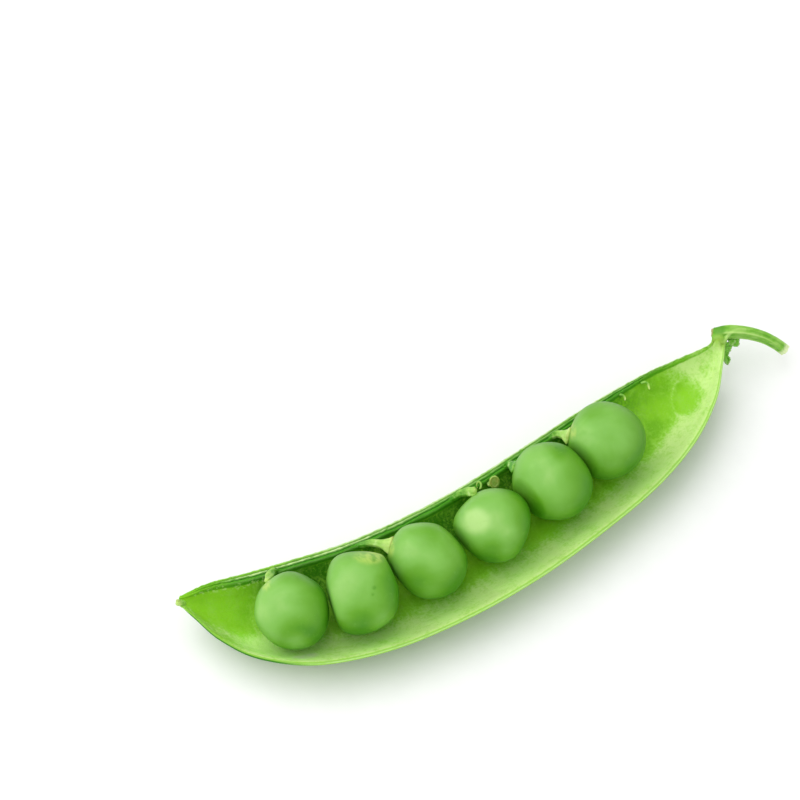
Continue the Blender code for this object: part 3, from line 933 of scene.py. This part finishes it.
def shape_wall(rings, sizes, balls, is_outer, is_inner, relief, span):
    """Swells the wall over each pea, prints the lost pea, and keeps the wall off the peas."""
    along = np.gradient(rings, axis=0)
    around = np.roll(rings, -1, axis=1) - np.roll(rings, 1, axis=1)
    outward = np.cross(around, along)
    outward /= np.linalg.norm(outward, axis=2)[:, :, None] + 1e-12
    if outward[SHELL_ROWS // 2, OUTER_COLUMNS // 2, 2] > 0:
        outward = -outward
    middle = np.clip(4 * span * (1 - span), 0, 1)
    swell = np.zeros(rings.shape[:2])
    for centre, radius in balls:
        gap = np.hypot(rings[:, :, 0] - centre.x, rings[:, :, 1] - centre.y)
        swell += np.exp(-((gap / (0.72 * radius)) ** 2))
    move = np.zeros(rings.shape[:2])
    off_table = ramp(rings[:, :, 2], 0.2, 1.6)
    move += is_outer * swell * middle * off_table * sizes.pea_bulge / MM
    move -= is_inner * swell * middle * sizes.pea_dent / MM
    near, ring, _ = print_shape(rings)
    move -= is_inner * (near * sizes.print_depth / MM - ring * 0.025)
    wrinkles = clouds(rings, 1.7, 1) + 0.6 * clouds(rings, 0.8, 2)
    move += (is_inner | is_outer) * wrinkles * relief[:, None] * sizes.wrinkle / MM * np.sqrt(middle)
    shaped = rings + outward * move[:, :, None]
    for centre, radius in balls:
        offset = shaped - np.array(centre)
        gap = np.linalg.norm(offset, axis=2)
        wanted = radius + SHOWN_GAP
        eased = wanted + PEA_CLEARANCE * np.exp((gap - wanted - PEA_CLEARANCE) / PEA_CLEARANCE)
        push = np.where(gap < wanted + PEA_CLEARANCE, eased, gap)
        pushed = np.array(centre) + offset * (push / gap)[:, :, None]
        shaped = np.where(is_inner[None, :, None], pushed, shaped)
    ragged = slice(OUTER_COLUMNS + 2, FIRST_INNER)
    torn = clouds(shaped[:, ragged] * (0.45, 1.0, 1.0), 0.22, 11) * relief[:, None]
    shaped[:, ragged, 2] += 0.09 * torn
    shaped[:, ragged, 1] += 0.05 * torn
    shaped[:, :, 2] = np.maximum(shaped[:, :, 2], 0.0)
    return shaped


def print_shape(rings):
    """The lost pea's print: its hollow, the raised ring beside it, and the reach from its middle."""
    x = rings[:, :, 0] - PRINT_CENTRE[0]
    y = rings[:, :, 1] - PRINT_CENTRE[1]
    cosine, sine = math.cos(PRINT_TURN), math.sin(PRINT_TURN)
    along = (x * cosine + y * sine) / PRINT_SIZE[0]
    across = (y * cosine - x * sine) / PRINT_SIZE[1]
    reach = np.hypot(along, across)
    left = ramp(along, 0.1, -0.6)
    return ramp(reach, 1.15, 0.45), hill(reach, 1.06, 0.09) * left, reach


def close_ends(rings):
    """Draws the first and last rings in, so that the tip and the neck end round."""
    closed = rings.copy()
    for k in range(END_ROWS):
        bend = math.pi / 2 * (END_ROWS - k) / (END_ROWS + 0.3)
        for row, inner in ((k, END_ROWS), (-1 - k, -1 - END_ROWS)):
            middle = rings[inner].mean(axis=0)
            outer = rings[0 if row >= 0 else -1].mean(axis=0)
            drawn = (rings[inner] - middle) * math.cos(bend)
            closed[row] = middle + (outer - middle) * math.sin(bend) + drawn
    return closed


def on_part(part, values):
    """A mask across the ring: values on one part of it and nothing elsewhere."""
    mask = np.zeros(COLUMNS)
    mask[part] = values
    return mask


def wall_marks(rings, place, balls, span, is_outer, is_inner, relief, neck):
    """The masks of the wall's material, one value from 0 to 1 for each point."""
    full = np.ones((SHELL_ROWS, COLUMNS))
    along = place[:, None] * full
    outer, inner = is_outer[None, :] * full, is_inner[None, :] * full
    fade = relief[:, None]
    x, y = rings[:, :, 0], rings[:, :, 1]

    # Both rims, by how far in from the edge
    seed_in = resampled(SEED_RIM, SEED_RIM_COLUMNS)[:, 0]
    back_in = resampled(BACK_RIM, BACK_RIM_COLUMNS + 1)[:-1, 0]
    # Pale lines along the rims' outer edges, partly a painted highlight on the cut edge
    lip = on_part(SEED_PART, hill(seed_in, 0.14, 0.13))
    groove = on_part(SEED_PART, 0.85 * hill(seed_in, 0.37, 0.06) + hill(seed_in, 0.86, 0.09))
    cord = on_part(SEED_PART, ramp(seed_in, 0.42, 0.50))
    cord_edge = on_part(SEED_PART, hill(seed_in, 0.54, 0.17) + 0.3 * hill(seed_in, 1.34, 0.06))
    beads = on_part(slice(FIRST_INNER - 5, FIRST_INNER + 4), BEADS)
    rim = on_part(BACK_PART, ramp(back_in, 0.68, 0.42))
    back_lip = on_part(BACK_PART, 0.5 * hill(back_in, 0.20, 0.09))
    # Painted shade: the outer wall seen along the back rim at the tip
    tip_wall_shade = on_part(BACK_PART, ramp(back_in, 0.32, 0.14))
    tip_wall_shade[:9] = np.linspace(1.0, 0.2, 9)
    tip_side = ramp(along, 4.2, 3.2) * ramp(along, 0.3, 0.9)
    lip_run = 0.15 + 0.75 * ramp(along, 3.6, 5.2)
    strand_run = ramp(along, 2.0, 3.2) * (1 - 0.7 * ramp(along, 5.2, 6.5))
    dark_run = ramp(along, 0.8, 3.8) * ramp(along, 11.6, 9.2) * 0.75 + 0.25

    # Painted shade: deep green under the seed rim, and painted contact shadow round the peas
    gaps = [np.linalg.norm(rings - np.array(centre), axis=2) - radius for centre, radius in balls]
    near_pea = np.min(gaps, axis=0)
    shade_under_cord = ramp(span, 0.56, 0.76) * ramp(along, 2.9, 3.7) * ramp(along, 10.3, 8.7)
    shadow_round_peas = ramp(near_pea, 1.7, 0.5) * ramp(x, -18.0, 2.0) * ramp(x, 31.0, 23.0)
    deep = inner * np.maximum(shade_under_cord, 0.80 * shadow_round_peas)

    # Pale lining along the back seam and by the neck, with the print left clear
    hollow, ring, print_reach = print_shape(rings)
    # Painted light: towards the tip the band reaches higher, over the peas' shade
    limit = 0.43 + 0.12 * ramp(along, 9.2, 10.8) + 0.08 * ramp(along, 5.0, 3.8)
    band = ramp(span, 0.02, 0.07) * ramp(span - limit, 0.06, -0.20)
    band = band * (0.45 + 0.55 * ramp(along, 1.9, 3.1))
    near_neck = ramp(along, 10.2, 11.1) * (1 - 0.2 * hill(span, 0.62, 0.16))
    pale = inner * np.clip(np.maximum(band, near_neck), 0, 1) * ramp(print_reach, 0.35, 1.75)
    # Painted light beside the tip pea, lifting its contact shadow
    tip_pea_light = ramp(near_pea, 3.2, 0.8) * ramp(x, -25.0, -29.0) * ramp(x, -35.0, -31.5)
    pale = np.clip(pale + inner * (0.50 * ring + 0.30 * tip_pea_light), 0, 1) * (1 - 0.8 * deep)
    # Painted light over the shaded inner side of the seed rim by the neck
    pale += on_part(SEED_PART, 0.6)[None, :] * ramp(along, 10.4, 11.8)
    back_fade = 1 - 0.6 * ramp(back_in, 0.75, 0.3)
    pale[:, BACK_PART] = pale[:, FIRST_BACK - 1 : FIRST_BACK] * back_fade

    scuff = np.zeros((SHELL_ROWS, COLUMNS))
    for spot_x, spot_y, size in SCUFFS:
        reach = np.hypot((x - spot_x) / (1.6 * size), (y - spot_y) / (0.8 * size))
        scuff = np.maximum(scuff, ramp(reach, 1.1, 0.5))
    return {
        "outside": outer * (1 - 0.9 * ramp(span, 0.03, 0.0) * tip_side),
        "rim": rim * full,
        "lip": np.clip(lip * lip_run + back_lip * (1 - tip_side), 0, 1),
        # Grooves darker, with the painted shade on the outer wall at the tip
        "groove": np.clip(groove * fade * dark_run + tip_wall_shade * tip_side, 0, 1),
        "cord": cord * fade * dark_run,
        "cord_edge": cord_edge * fade * strand_run,
        "beads": beads * ramp(along, 0.8, 1.4) * ramp(along, 4.4, 3.4),
        # Painted shade
        "deep": deep,
        # Painted light: where the peas shade the wall, lifted by the glow colour
        "shade": inner * ramp(near_pea, 5.5, 1.5) * ramp(span, 0.55, 0.35),
        "pale": pale,
        "bright": inner * np.clip(0.85 * hollow + 0.9 * ramp(along, 3.6, 2.0), 0, 1) * (1 - deep),
        "scuff": inner * scuff,
        "neck": 0.8 * neck[:, None] * full,
    }


class PEAPOD_OT_wall(bpy.types.Operator):
    """Make the wall of the open half pod, with its rims, seed cord and neck"""

    bl_idname = "pea_pod.wall"
    bl_label = "Pod wall"

    def execute(self, context):
        scene = context.scene
        rings, marks = wall_rings(scene.pea_pod_sizes, pea_balls())
        wall = rolled("pod_wall", rings, marks)
        place_piece(wall, "pod", pod_look(scene.pea_pod_colours), "pod_valve")
        return {"FINISHED"}


class PEAPOD_OT_beak(bpy.types.Operator):
    """Make the dried beak at the blossom tip"""

    bl_idname = "pea_pod.beak"
    bl_label = "Beak"

    def execute(self, context):
        beak = tube(
            "beak",
            resampled(BEAK, 40),
            24,
            {
                "reach": lambda t: 0.4 + 0.7 * ramp(t, 0.3, 0.9),
                "dry": lambda t: 0.4 * ramp(t, 0.9, 1.0),
            },
            lambda t, a: 1 + 0.10 * np.sin(3 * a + 9 * t) + 0.05 * np.sin(7 * a),
        )
        place_piece(beak, "pod", seed_stalk_look(context.scene.pea_pod_colours))
        return {"FINISHED"}


# Peas


def pea_mesh(number, balls):
    """One pea from an icosphere: pressed by its neighbours and the wall into its own form."""
    centre, radius = balls[number]
    right, up, toward = (np.array(way) for way in camera_ways())
    shape = bmesh.new()
    bmesh.ops.create_icosphere(shape, subdivisions=PEA_DETAIL, radius=1.0)
    ways = np.array([vert.co for vert in shape.verts])
    ways /= np.linalg.norm(ways, axis=1)[:, None]
    swell, flats = PEA_FORMS[number]
    facing = ways @ toward
    size = radius * (1 + (swell - 1) * ramp(facing, -0.6, 0.1))
    size = size * (1 - 0.006 * (clouds(ways, 1.1, number + 3) + 1))
    points = ways * soft_form(ways, size, radius, flats, (right, up, toward))[:, None]
    for other in (number - 1, number + 1):
        if 0 <= other < len(balls):
            share_of_room, lean = PEA_JOINS[min(number, other)]
            between = np.array(balls[other][0] - centre)
            sense = 1 if other > number else -1
            way = between / np.linalg.norm(between) + sense * lean * toward
            way /= np.linalg.norm(way)
            room = between @ way - SHOWN_GAP
            limit = room * (share_of_room if other > number else 1 - share_of_room)
            points = pressed(points, way, limit, JOIN_SOFTNESS)
    points = pressed(points, np.array((0.0, 0.0, -1.0)), 0.99 * radius, 0.4)
    set_points(shape, points, pea_marks(number, ways, right, up, toward), centre)
    return finished(PEA_NODES[number] + "_skin", shape)


def soft_form(ways, size, radius, flats, axes):
    """The reach of a pea each way, where soft flats hold it back to their limits."""
    power = FORM_SOFTNESS
    total = size**-power
    top = size.max()
    for flat in flats:
        way = sum(part * axis for part, axis in zip(flat[:3], axes))
        facing = np.maximum(ways @ (way / np.linalg.norm(way)), 0.0)
        limit = min(flat[3] * radius, 0.995 * top)
        total += facing**power * (limit**-power - top**-power)
    return total ** (-1 / power)


def pea_marks(number, ways, right, up, toward):
    """A pea's painted light and shade, its scar, and its small dark spots."""
    lit = sum(part * axis for part, axis in zip(PAINTED_LIGHT_WAY, (right, up, toward)))
    painted_light = ramp(ways @ (lit / np.linalg.norm(lit)), -0.15, 1.05)
    aside, above, front = ways @ right, ways @ up, ways @ toward > 0
    # Painted highlights, painted reflected light and painted shade patches
    for patch_right, patch_up, size, amount in PEA_PAINTED_PATCHES[number]:
        reach = np.hypot(aside - patch_right, above - patch_up)
        painted_light += amount * ramp(reach, 1.5 * size, 0.2 * size) * front
    scar = np.zeros(len(ways))
    spot = np.zeros(len(ways))
    for owner, spot_right, spot_up, wide, high in PEA_SCARS:
        if owner == number:
            reach = np.hypot((aside - spot_right) / wide, (above - spot_up) / high)
            scar = np.maximum(scar, ramp(reach, 1.1, 0.4) * front)
    for owner, spot_right, spot_up, size in PEA_SPOTS:
        if owner == number:
            reach = np.hypot(aside - spot_right, above - spot_up)
            spot = np.maximum(spot, 0.6 * ramp(reach, size, 0.3 * size) * front)
    return {"painted_light": painted_light, "scar": scar, "spot": spot}


def pressed(points, way, limit, softness):
    """Presses points flat where they reach past a limit along a way."""
    along = points @ way
    start = limit - softness
    eased = start + softness * (1 - np.exp(-np.maximum(along - start, 0) / softness))
    return points + np.outer(np.where(along > start, eased - along, 0.0), way)


class PEAPOD_OT_peas(bpy.types.Operator):
    """Make the six peas"""

    bl_idname = "pea_pod.peas"
    bl_label = "Peas"

    def execute(self, context):
        balls = pea_balls()
        look = pea_look(context.scene.pea_pod_colours)
        for number, node in enumerate(PEA_NODES):
            place_piece(pea_mesh(number, balls), "pea", look, node)
        return {"FINISHED"}


# Seed stalks


def seed_stalk_part(index, root, end, radius, flare, pale, dry):
    """A seed stalk: a strand that leaves the cord, arches over and spreads where it holds a pea."""
    _, _, toward = camera_ways()
    arch = min(1.0, (end - root).length / 2.5)
    strand = root.lerp(end, 0.42) + Vector((0.20, 0.50, 0.0)) * arch
    middle = root.lerp(end, 0.72) + Vector((0.10, 0.36, -0.05)) * arch
    points = (
        (*root, radius * 0.7, radius * 0.45),
        (*root.lerp(strand, 0.5), radius * 1.3, radius * 0.6),
        (*strand, radius * 1.5, radius * 0.65),
        (*middle, radius * 1.8, radius * 0.7),
        (*middle.lerp(end, 0.55), 0.5 * (radius * 1.9 + flare), radius * 0.8),
        (*end, flare, radius * 1.1),
    )
    return tube(
        f"seed_stalk_{index}",
        resampled(points, 44),
        28,
        {"reach": lambda t: pale * t, "dry": lambda t: dry * ramp(t, 0.93, 1.0)},
        lambda t, a: 1 + 0.13 * np.sin(5 * a + 6 * t) + 0.07 * np.sin(9 * a - 5 * t),
        toward,
    )


class PEAPOD_OT_seed_stalks(bpy.types.Operator):
    """Make the short stalks that held the peas"""

    bl_idname = "pea_pod.seed_stalks"
    bl_label = "Seed stalks"

    def execute(self, context):
        sizes = context.scene.pea_pod_sizes
        balls = pea_balls()
        rim_height = sizes.rim_height / MM
        radius = sizes.seed_stalk / MM
        parts = []
        for number, way, place, flare, pale, dry in SEED_STALKS:
            centre, pea_radius = balls[number]
            end = centre + Vector(way).normalized() * (pea_radius + 0.05)
            root = cord_point(place, rim_height)
            parts.append(seed_stalk_part(number, root, end, radius, flare, pale, dry))
        for index, (place, bends) in enumerate(EMPTY_STALKS):
            parts.append(empty_stalk(index, cord_point(place, rim_height), bends, radius * 0.5))
        low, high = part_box("undeveloped_seed")
        below = (low + high) / 2 / MM + Vector((-0.5, 0.4, -0.9))
        root = cord_point(SMALL_SEED_ROOT, rim_height)
        parts.append(seed_stalk_part(20, root, below, radius * 0.7, radius * 0.8, 0.9, 0.6))
        parts.append(dry_loop(20))
        stalks = join_meshes("seed_stalks", parts)
        place_piece(stalks, "pod", seed_stalk_look(context.scene.pea_pod_colours))
        return {"FINISHED"}


def empty_stalk(index, root, bends, radius):
    """A thin crooked seed stalk that lost its seed and lies on the wall."""
    right, up, _ = camera_ways()
    points = [(*(root + right * aside + up * above), radius) for aside, above in bends]
    return tube(
        f"empty_stalk_{index}",
        resampled(points, 30),
        14,
        {"reach": lambda t: 0.35 + 0.65 * ramp(t, 0.3, 0.8), "dry": lambda t: 0.2 * ramp(t, 0.9, 1.0)},
        lambda t, a: 1.15 - 0.35 * t + 0.18 * np.sin(3 * a + 8 * t),
    )


def dry_loop(steps):
    """The dry loop of a torn seed stalk beside the shrunken seed."""
    right, up, _ = camera_ways()
    line = []
    for step in range(steps):
        turn = math.radians(-60 + 280 * step / (steps - 1))
        spot = Vector(DRY_LOOP) + (right * 0.30 * math.cos(turn) + up * 0.48 * math.sin(turn))
        line.append((*spot, 0.13 + 0.03 * math.cos(turn)))
    marks = {"reach": lambda t: np.full(t.shape, 0.6), "dry": lambda t: 0.4 * ramp(t, 0.2, 0.9)}
    return tube("dry_loop", np.array(line), 14, marks)


class PEAPOD_OT_small_seed(bpy.types.Operator):
    """Make the seed that never grew"""

    bl_idname = "pea_pod.small_seed"
    bl_label = "Small seed"

    def execute(self, context):
        low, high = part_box("undeveloped_seed")
        right, up, toward = camera_ways()
        centre = (low + high) / 2 + (up * 0.1 - right * 0.05) * MM
        shape = bmesh.new()
        bmesh.ops.create_icosphere(shape, subdivisions=SMALL_SEED_DETAIL, radius=1.0)
        layer = shape.verts.layers.float.new("edge")
        for vert in shape.verts:
            way = vert.co.normalized()
            across, upward, front = way.dot(right), way.dot(up), way.dot(toward)
            reach = math.hypot(across, upward)
            fold = 0.07 * noise.noise(way * 2.3)
            thick = 0.30 + 0.22 * math.exp(-(((reach - 0.85) / 0.2) ** 2))
            vert[layer] = max(0.0, 1.0 - abs(reach - 0.93) / 0.12) * (1.0 if front > -0.3 else 0.0)
            spot = right * across * 0.72 + up * upward * 0.84 + toward * front * thick
            vert.co = centre + spot * (1 + fold) * MM
        seed = finished("small_seed", shape)
        look = small_seed_look(context.scene.pea_pod_colours)
        place_piece(seed, "seed", look, "undeveloped_seed")
        return {"FINISHED"}


# Stalk and calyx


class PEAPOD_OT_stalk(bpy.types.Operator):
    """Make the ribbed stalk, its torn end and the neck that carries the pod"""

    bl_idname = "pea_pod.stalk"
    bl_label = "Stalk"

    def execute(self, context):
        scene = context.scene
        line = resampled(STALK, 160)
        neck = resampled(NECK, 30)
        sweep = resampled(SWEEP, 40)
        parts = [
            tube("stalk_part", line, 40),
            tube("neck_part", neck, 40),
            tube("sweep_part", sweep, 16),
        ]
        shape = melted("stalk_parts", parts, STALK_VOXEL * MM, STALK_PASSES)
        points = np.array([vert.co for vert in shape.verts]) / MM
        points, marks = rib_stalk(points, line, neck, sweep, scene.pea_pod_sizes.stalk_rib / MM)
        set_points(shape, points, marks)
        stalk = finished("stalk_skin", shape)
        place_piece(stalk, "stalk", stalk_look(scene.pea_pod_colours), "stalk")
        return {"FINISHED"}


def nearest_on(line, points):
    """For each point the nearest step of a line, and how far away it is."""
    gaps = np.linalg.norm(points[:, None, :] - line[None, :, :3], axis=2)
    steps = gaps.argmin(axis=1)
    return steps, gaps[np.arange(len(points)), steps]


def rib_stalk(points, line, neck, sweep, height):
    """Raises ribs along the stalk and returns the masks of its material."""
    steps, gap = nearest_on(line, points)
    tangents = np.gradient(line[:, :3], axis=0)
    tangents /= np.linalg.norm(tangents, axis=1)[:, None]
    asides = np.cross(tangents, (0.0, 0.0, 1.0))
    asides /= np.linalg.norm(asides, axis=1)[:, None]
    ups = np.cross(asides, tangents)
    offset = points - line[steps, :3]
    offset -= tangents[steps] * np.sum(offset * tangents[steps], axis=1)[:, None]
    turn = np.arctan2(np.sum(offset * ups[steps], axis=1), np.sum(offset * asides[steps], axis=1))
    t = steps / (len(line) - 1)
    wave = np.cos(5 * turn + 2.2 * t + 0.9) + 0.35 * np.cos(9 * turn - 3 * t)
    on_stalk = ramp(t, 0.16, 0.34) * ramp(gap - line[steps, 3], 0.25, 0.1)
    outward = offset / (np.linalg.norm(offset, axis=1)[:, None] + 1e-9)
    rough = clouds(points, 0.5, 9) * 0.5 + clouds(points, 0.22, 10) * 0.5
    ragged = ramp(np.linalg.norm(points - np.array(TORN_END), axis=1), 1.0, 0.35)
    lift = height * wave * on_stalk + 0.03 * rough + 0.16 * rough * ragged
    _, to_neck = nearest_on(neck, points)
    _, to_sweep = nearest_on(sweep, points)
    at_neck = ramp(to_neck - gap, 0.35, -0.35) * ramp(t, 0.35, 0.2)
    end = np.linalg.norm(points - line[-1, :3], axis=1)
    past = np.sum((points - line[-1, :3]) * tangents[-1], axis=1)
    dark = ramp(np.linalg.norm(points - np.array(DARK_TOP), axis=1), 1.25, 0.6)
    marks = {
        "rib": np.clip(0.75 * ramp(wave, 0.5, 1.3) * on_stalk + 0.7 * ramp(to_sweep, 0.40, 0.2), 0, 1),
        "furrow": 0.9 * ramp(wave, -0.3, -1.1) * on_stalk,
        "neck": at_neck,
        "dark": dark * (1 - 0.6 * at_neck) * ramp(to_sweep, 0.2, 0.4),
        "torn": ragged,
        "pith": ramp(past + 0.5 * rough, -1.0, -0.1) * ramp(end, 1.8, 1.4),
    }
    beyond = np.sum((points - np.array(TORN_END)) * -tangents[0], axis=1)
    bitten = np.where((t < 0.1) & (beyond > 0), 0.2 * rough - 0.85 * beyond, 0.0)
    cut = np.where((t > 0.9) & (past > 0), 0.10 * rough - 0.85 * past, 0.0)
    shift = tangents[-1] * cut[:, None] - tangents[0] * bitten[:, None]
    return points + outward * lift[:, None] + shift, marks


def sepal_sheet(index, sepal):
    """A torn sepal between its two ragged edges."""
    right, up, toward = camera_ways()
    root, left_edge, right_edge, lean = sepal
    rows, columns = 60, 22
    shape = bmesh.new()
    bmesh.ops.create_grid(shape, x_segments=rows - 1, y_segments=columns - 1, size=1.0)
    edge_layer = shape.verts.layers.float.new("edge")
    left_line = resampled([(*spot, 0.0) for spot in left_edge], rows)
    right_line = resampled([(*spot, 0.0) for spot in right_edge], rows)
    for vert in shape.verts:
        down = (vert.co.x + 1) / 2
        sideways = vert.co.y
        row = round(down * (rows - 1))
        spot = left_line[row] + (right_line[row] - left_line[row]) * (sideways + 1) / 2
        frill = noise.noise(Vector((down * 9.0, index * 3.1, sideways * 1.5)))
        depth = 0.22 * frill + 0.16 * sideways**2 - lean * down**2
        fray = 0.10 * noise.noise(Vector((down * 22.0, index * 5.3, math.copysign(2.0, sideways))))
        spot = spot + np.array((fray * abs(sideways) ** 3, 0.0, 0.0))
        vert[edge_layer] = min(1.0, max(0.0, abs(sideways) - 0.72) * 3)
        vert.co = (Vector(root) + right * spot[0] + up * spot[1] + toward * depth) * MM
    return finished(f"sepal_{index}", shape)


class PEAPOD_OT_calyx(bpy.types.Operator):
    """Make the torn calyx under the stalk"""

    bl_idname = "pea_pod.calyx"
    bl_label = "Calyx"

    def execute(self, context):
        scene = context.scene
        parts = [sepal_sheet(index, sepal) for index, sepal in enumerate(SEPALS)]
        calyx = join_meshes("torn_calyx", parts)
        thick = calyx.modifiers.new("thickness", "SOLIDIFY")
        thick.thickness = scene.pea_pod_sizes.sepal_wall
        thick.offset = 0.0
        place_piece(calyx, "calyx", sepal_look(scene.pea_pod_colours), "calyx")
        return {"FINISHED"}


# Stage


def area_light(name, place, power, aim):
    """A square soft light that shines at the aim."""
    way, distance, size = place
    data = bpy.data.lights.new(name, "AREA")
    data.shape = "SQUARE"
    data.size = size
    data.energy = power
    light = bpy.data.objects.new(name, data)
    direction = Vector(way).normalized()
    light.location = aim + direction * distance
    light.rotation_euler = direction.to_track_quat("Z", "Y").to_euler()
    bpy.context.scene.collection.objects.link(light)


class PEAPOD_OT_stage(bpy.types.Operator):
    """Make the floor, the lights and the camera"""

    bl_idname = "pea_pod.stage"
    bl_label = "Stage"

    def execute(self, context):
        scene = context.scene
        settings = scene.pea_pod_stage
        shape = bmesh.new()
        bmesh.ops.create_grid(shape, x_segments=1, y_segments=1, size=FLOOR_HALF)
        low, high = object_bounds()
        bmesh.ops.translate(shape, verts=shape.verts, vec=(0.0, 0.0, low.z))
        floor = finished("floor", shape)
        floor.data.materials.append(floor_look(settings))
        floor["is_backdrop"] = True

        world = bpy.data.worlds.new("studio")
        scene.world = world
        world.use_nodes = True
        sky = world.node_tree.nodes["Background"]
        sky.inputs["Color"].default_value = (1.0, 1.0, 1.0, 1.0)
        sky.inputs["Strength"].default_value = settings.sky

        aim = (low + high) / 2
        area_light("key", KEY_PLACE, settings.key, aim)
        area_light("fill", FILL_PLACE, settings.fill, aim)

        lens = bpy.data.cameras.new("camera")
        lens.lens = settings.lens
        lens.sensor_width = SENSOR_WIDTH
        lens.clip_start = 0.01
        lens.clip_end = 20.0
        camera = bpy.data.objects.new("camera", lens)
        scene.collection.objects.link(camera)
        right, up, toward = camera_ways()
        place = Vector(VIEW_AIM) * MM + toward * settings.distance
        turned = Matrix((right, up, toward)).transposed().to_4x4()
        camera.matrix_world = Matrix.Translation(place) @ turned
        scene.camera = camera
        scene.view_settings.view_transform = "Standard"
        return {"FINISHED"}


class PEAPOD_PT_sidebar(bpy.types.Panel):
    """The pea pod's pieces and settings"""

    bl_idname = "PEAPOD_PT_sidebar"
    bl_label = "Pea Pod"
    bl_space_type = "VIEW_3D"
    bl_region_type = "UI"
    bl_category = "Pea Pod"

    def draw(self, context):
        layout = self.layout
        for operator in OPERATORS:
            layout.operator(operator.bl_idname)
        for name in GROUPS:
            group = getattr(context.scene, name)
            box = layout.box()
            for key in group.bl_rna.properties.keys():
                if key not in ("rna_type", "name"):
                    box.prop(group, key)


OPERATORS = (
    PEAPOD_OT_wall,
    PEAPOD_OT_beak,
    PEAPOD_OT_seed_stalks,
    PEAPOD_OT_peas,
    PEAPOD_OT_small_seed,
    PEAPOD_OT_stalk,
    PEAPOD_OT_calyx,
    PEAPOD_OT_stage,
)
GROUPS = {
    "pea_pod_sizes": PodSizes,
    "pea_pod_colours": PodColours,
    "pea_pod_stage": StageSettings,
}
CLASSES = (*GROUPS.values(), *OPERATORS, PEAPOD_PT_sidebar)


def register():
    for item in CLASSES:
        bpy.utils.register_class(item)
    for name, group in GROUPS.items():
        setattr(bpy.types.Scene, name, PointerProperty(type=group))


def unregister():
    for name in GROUPS:
        delattr(bpy.types.Scene, name)
    for item in reversed(CLASSES):
        bpy.utils.unregister_class(item)


def main():
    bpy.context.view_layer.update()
    register()
    bpy.ops.pea_pod.wall()
    bpy.ops.pea_pod.beak()
    bpy.ops.pea_pod.seed_stalks()
    bpy.ops.pea_pod.peas()
    bpy.ops.pea_pod.small_seed()
    bpy.ops.pea_pod.stalk()
    bpy.ops.pea_pod.calyx()
    bpy.ops.pea_pod.stage()


if __name__ == "__main__":
    main()
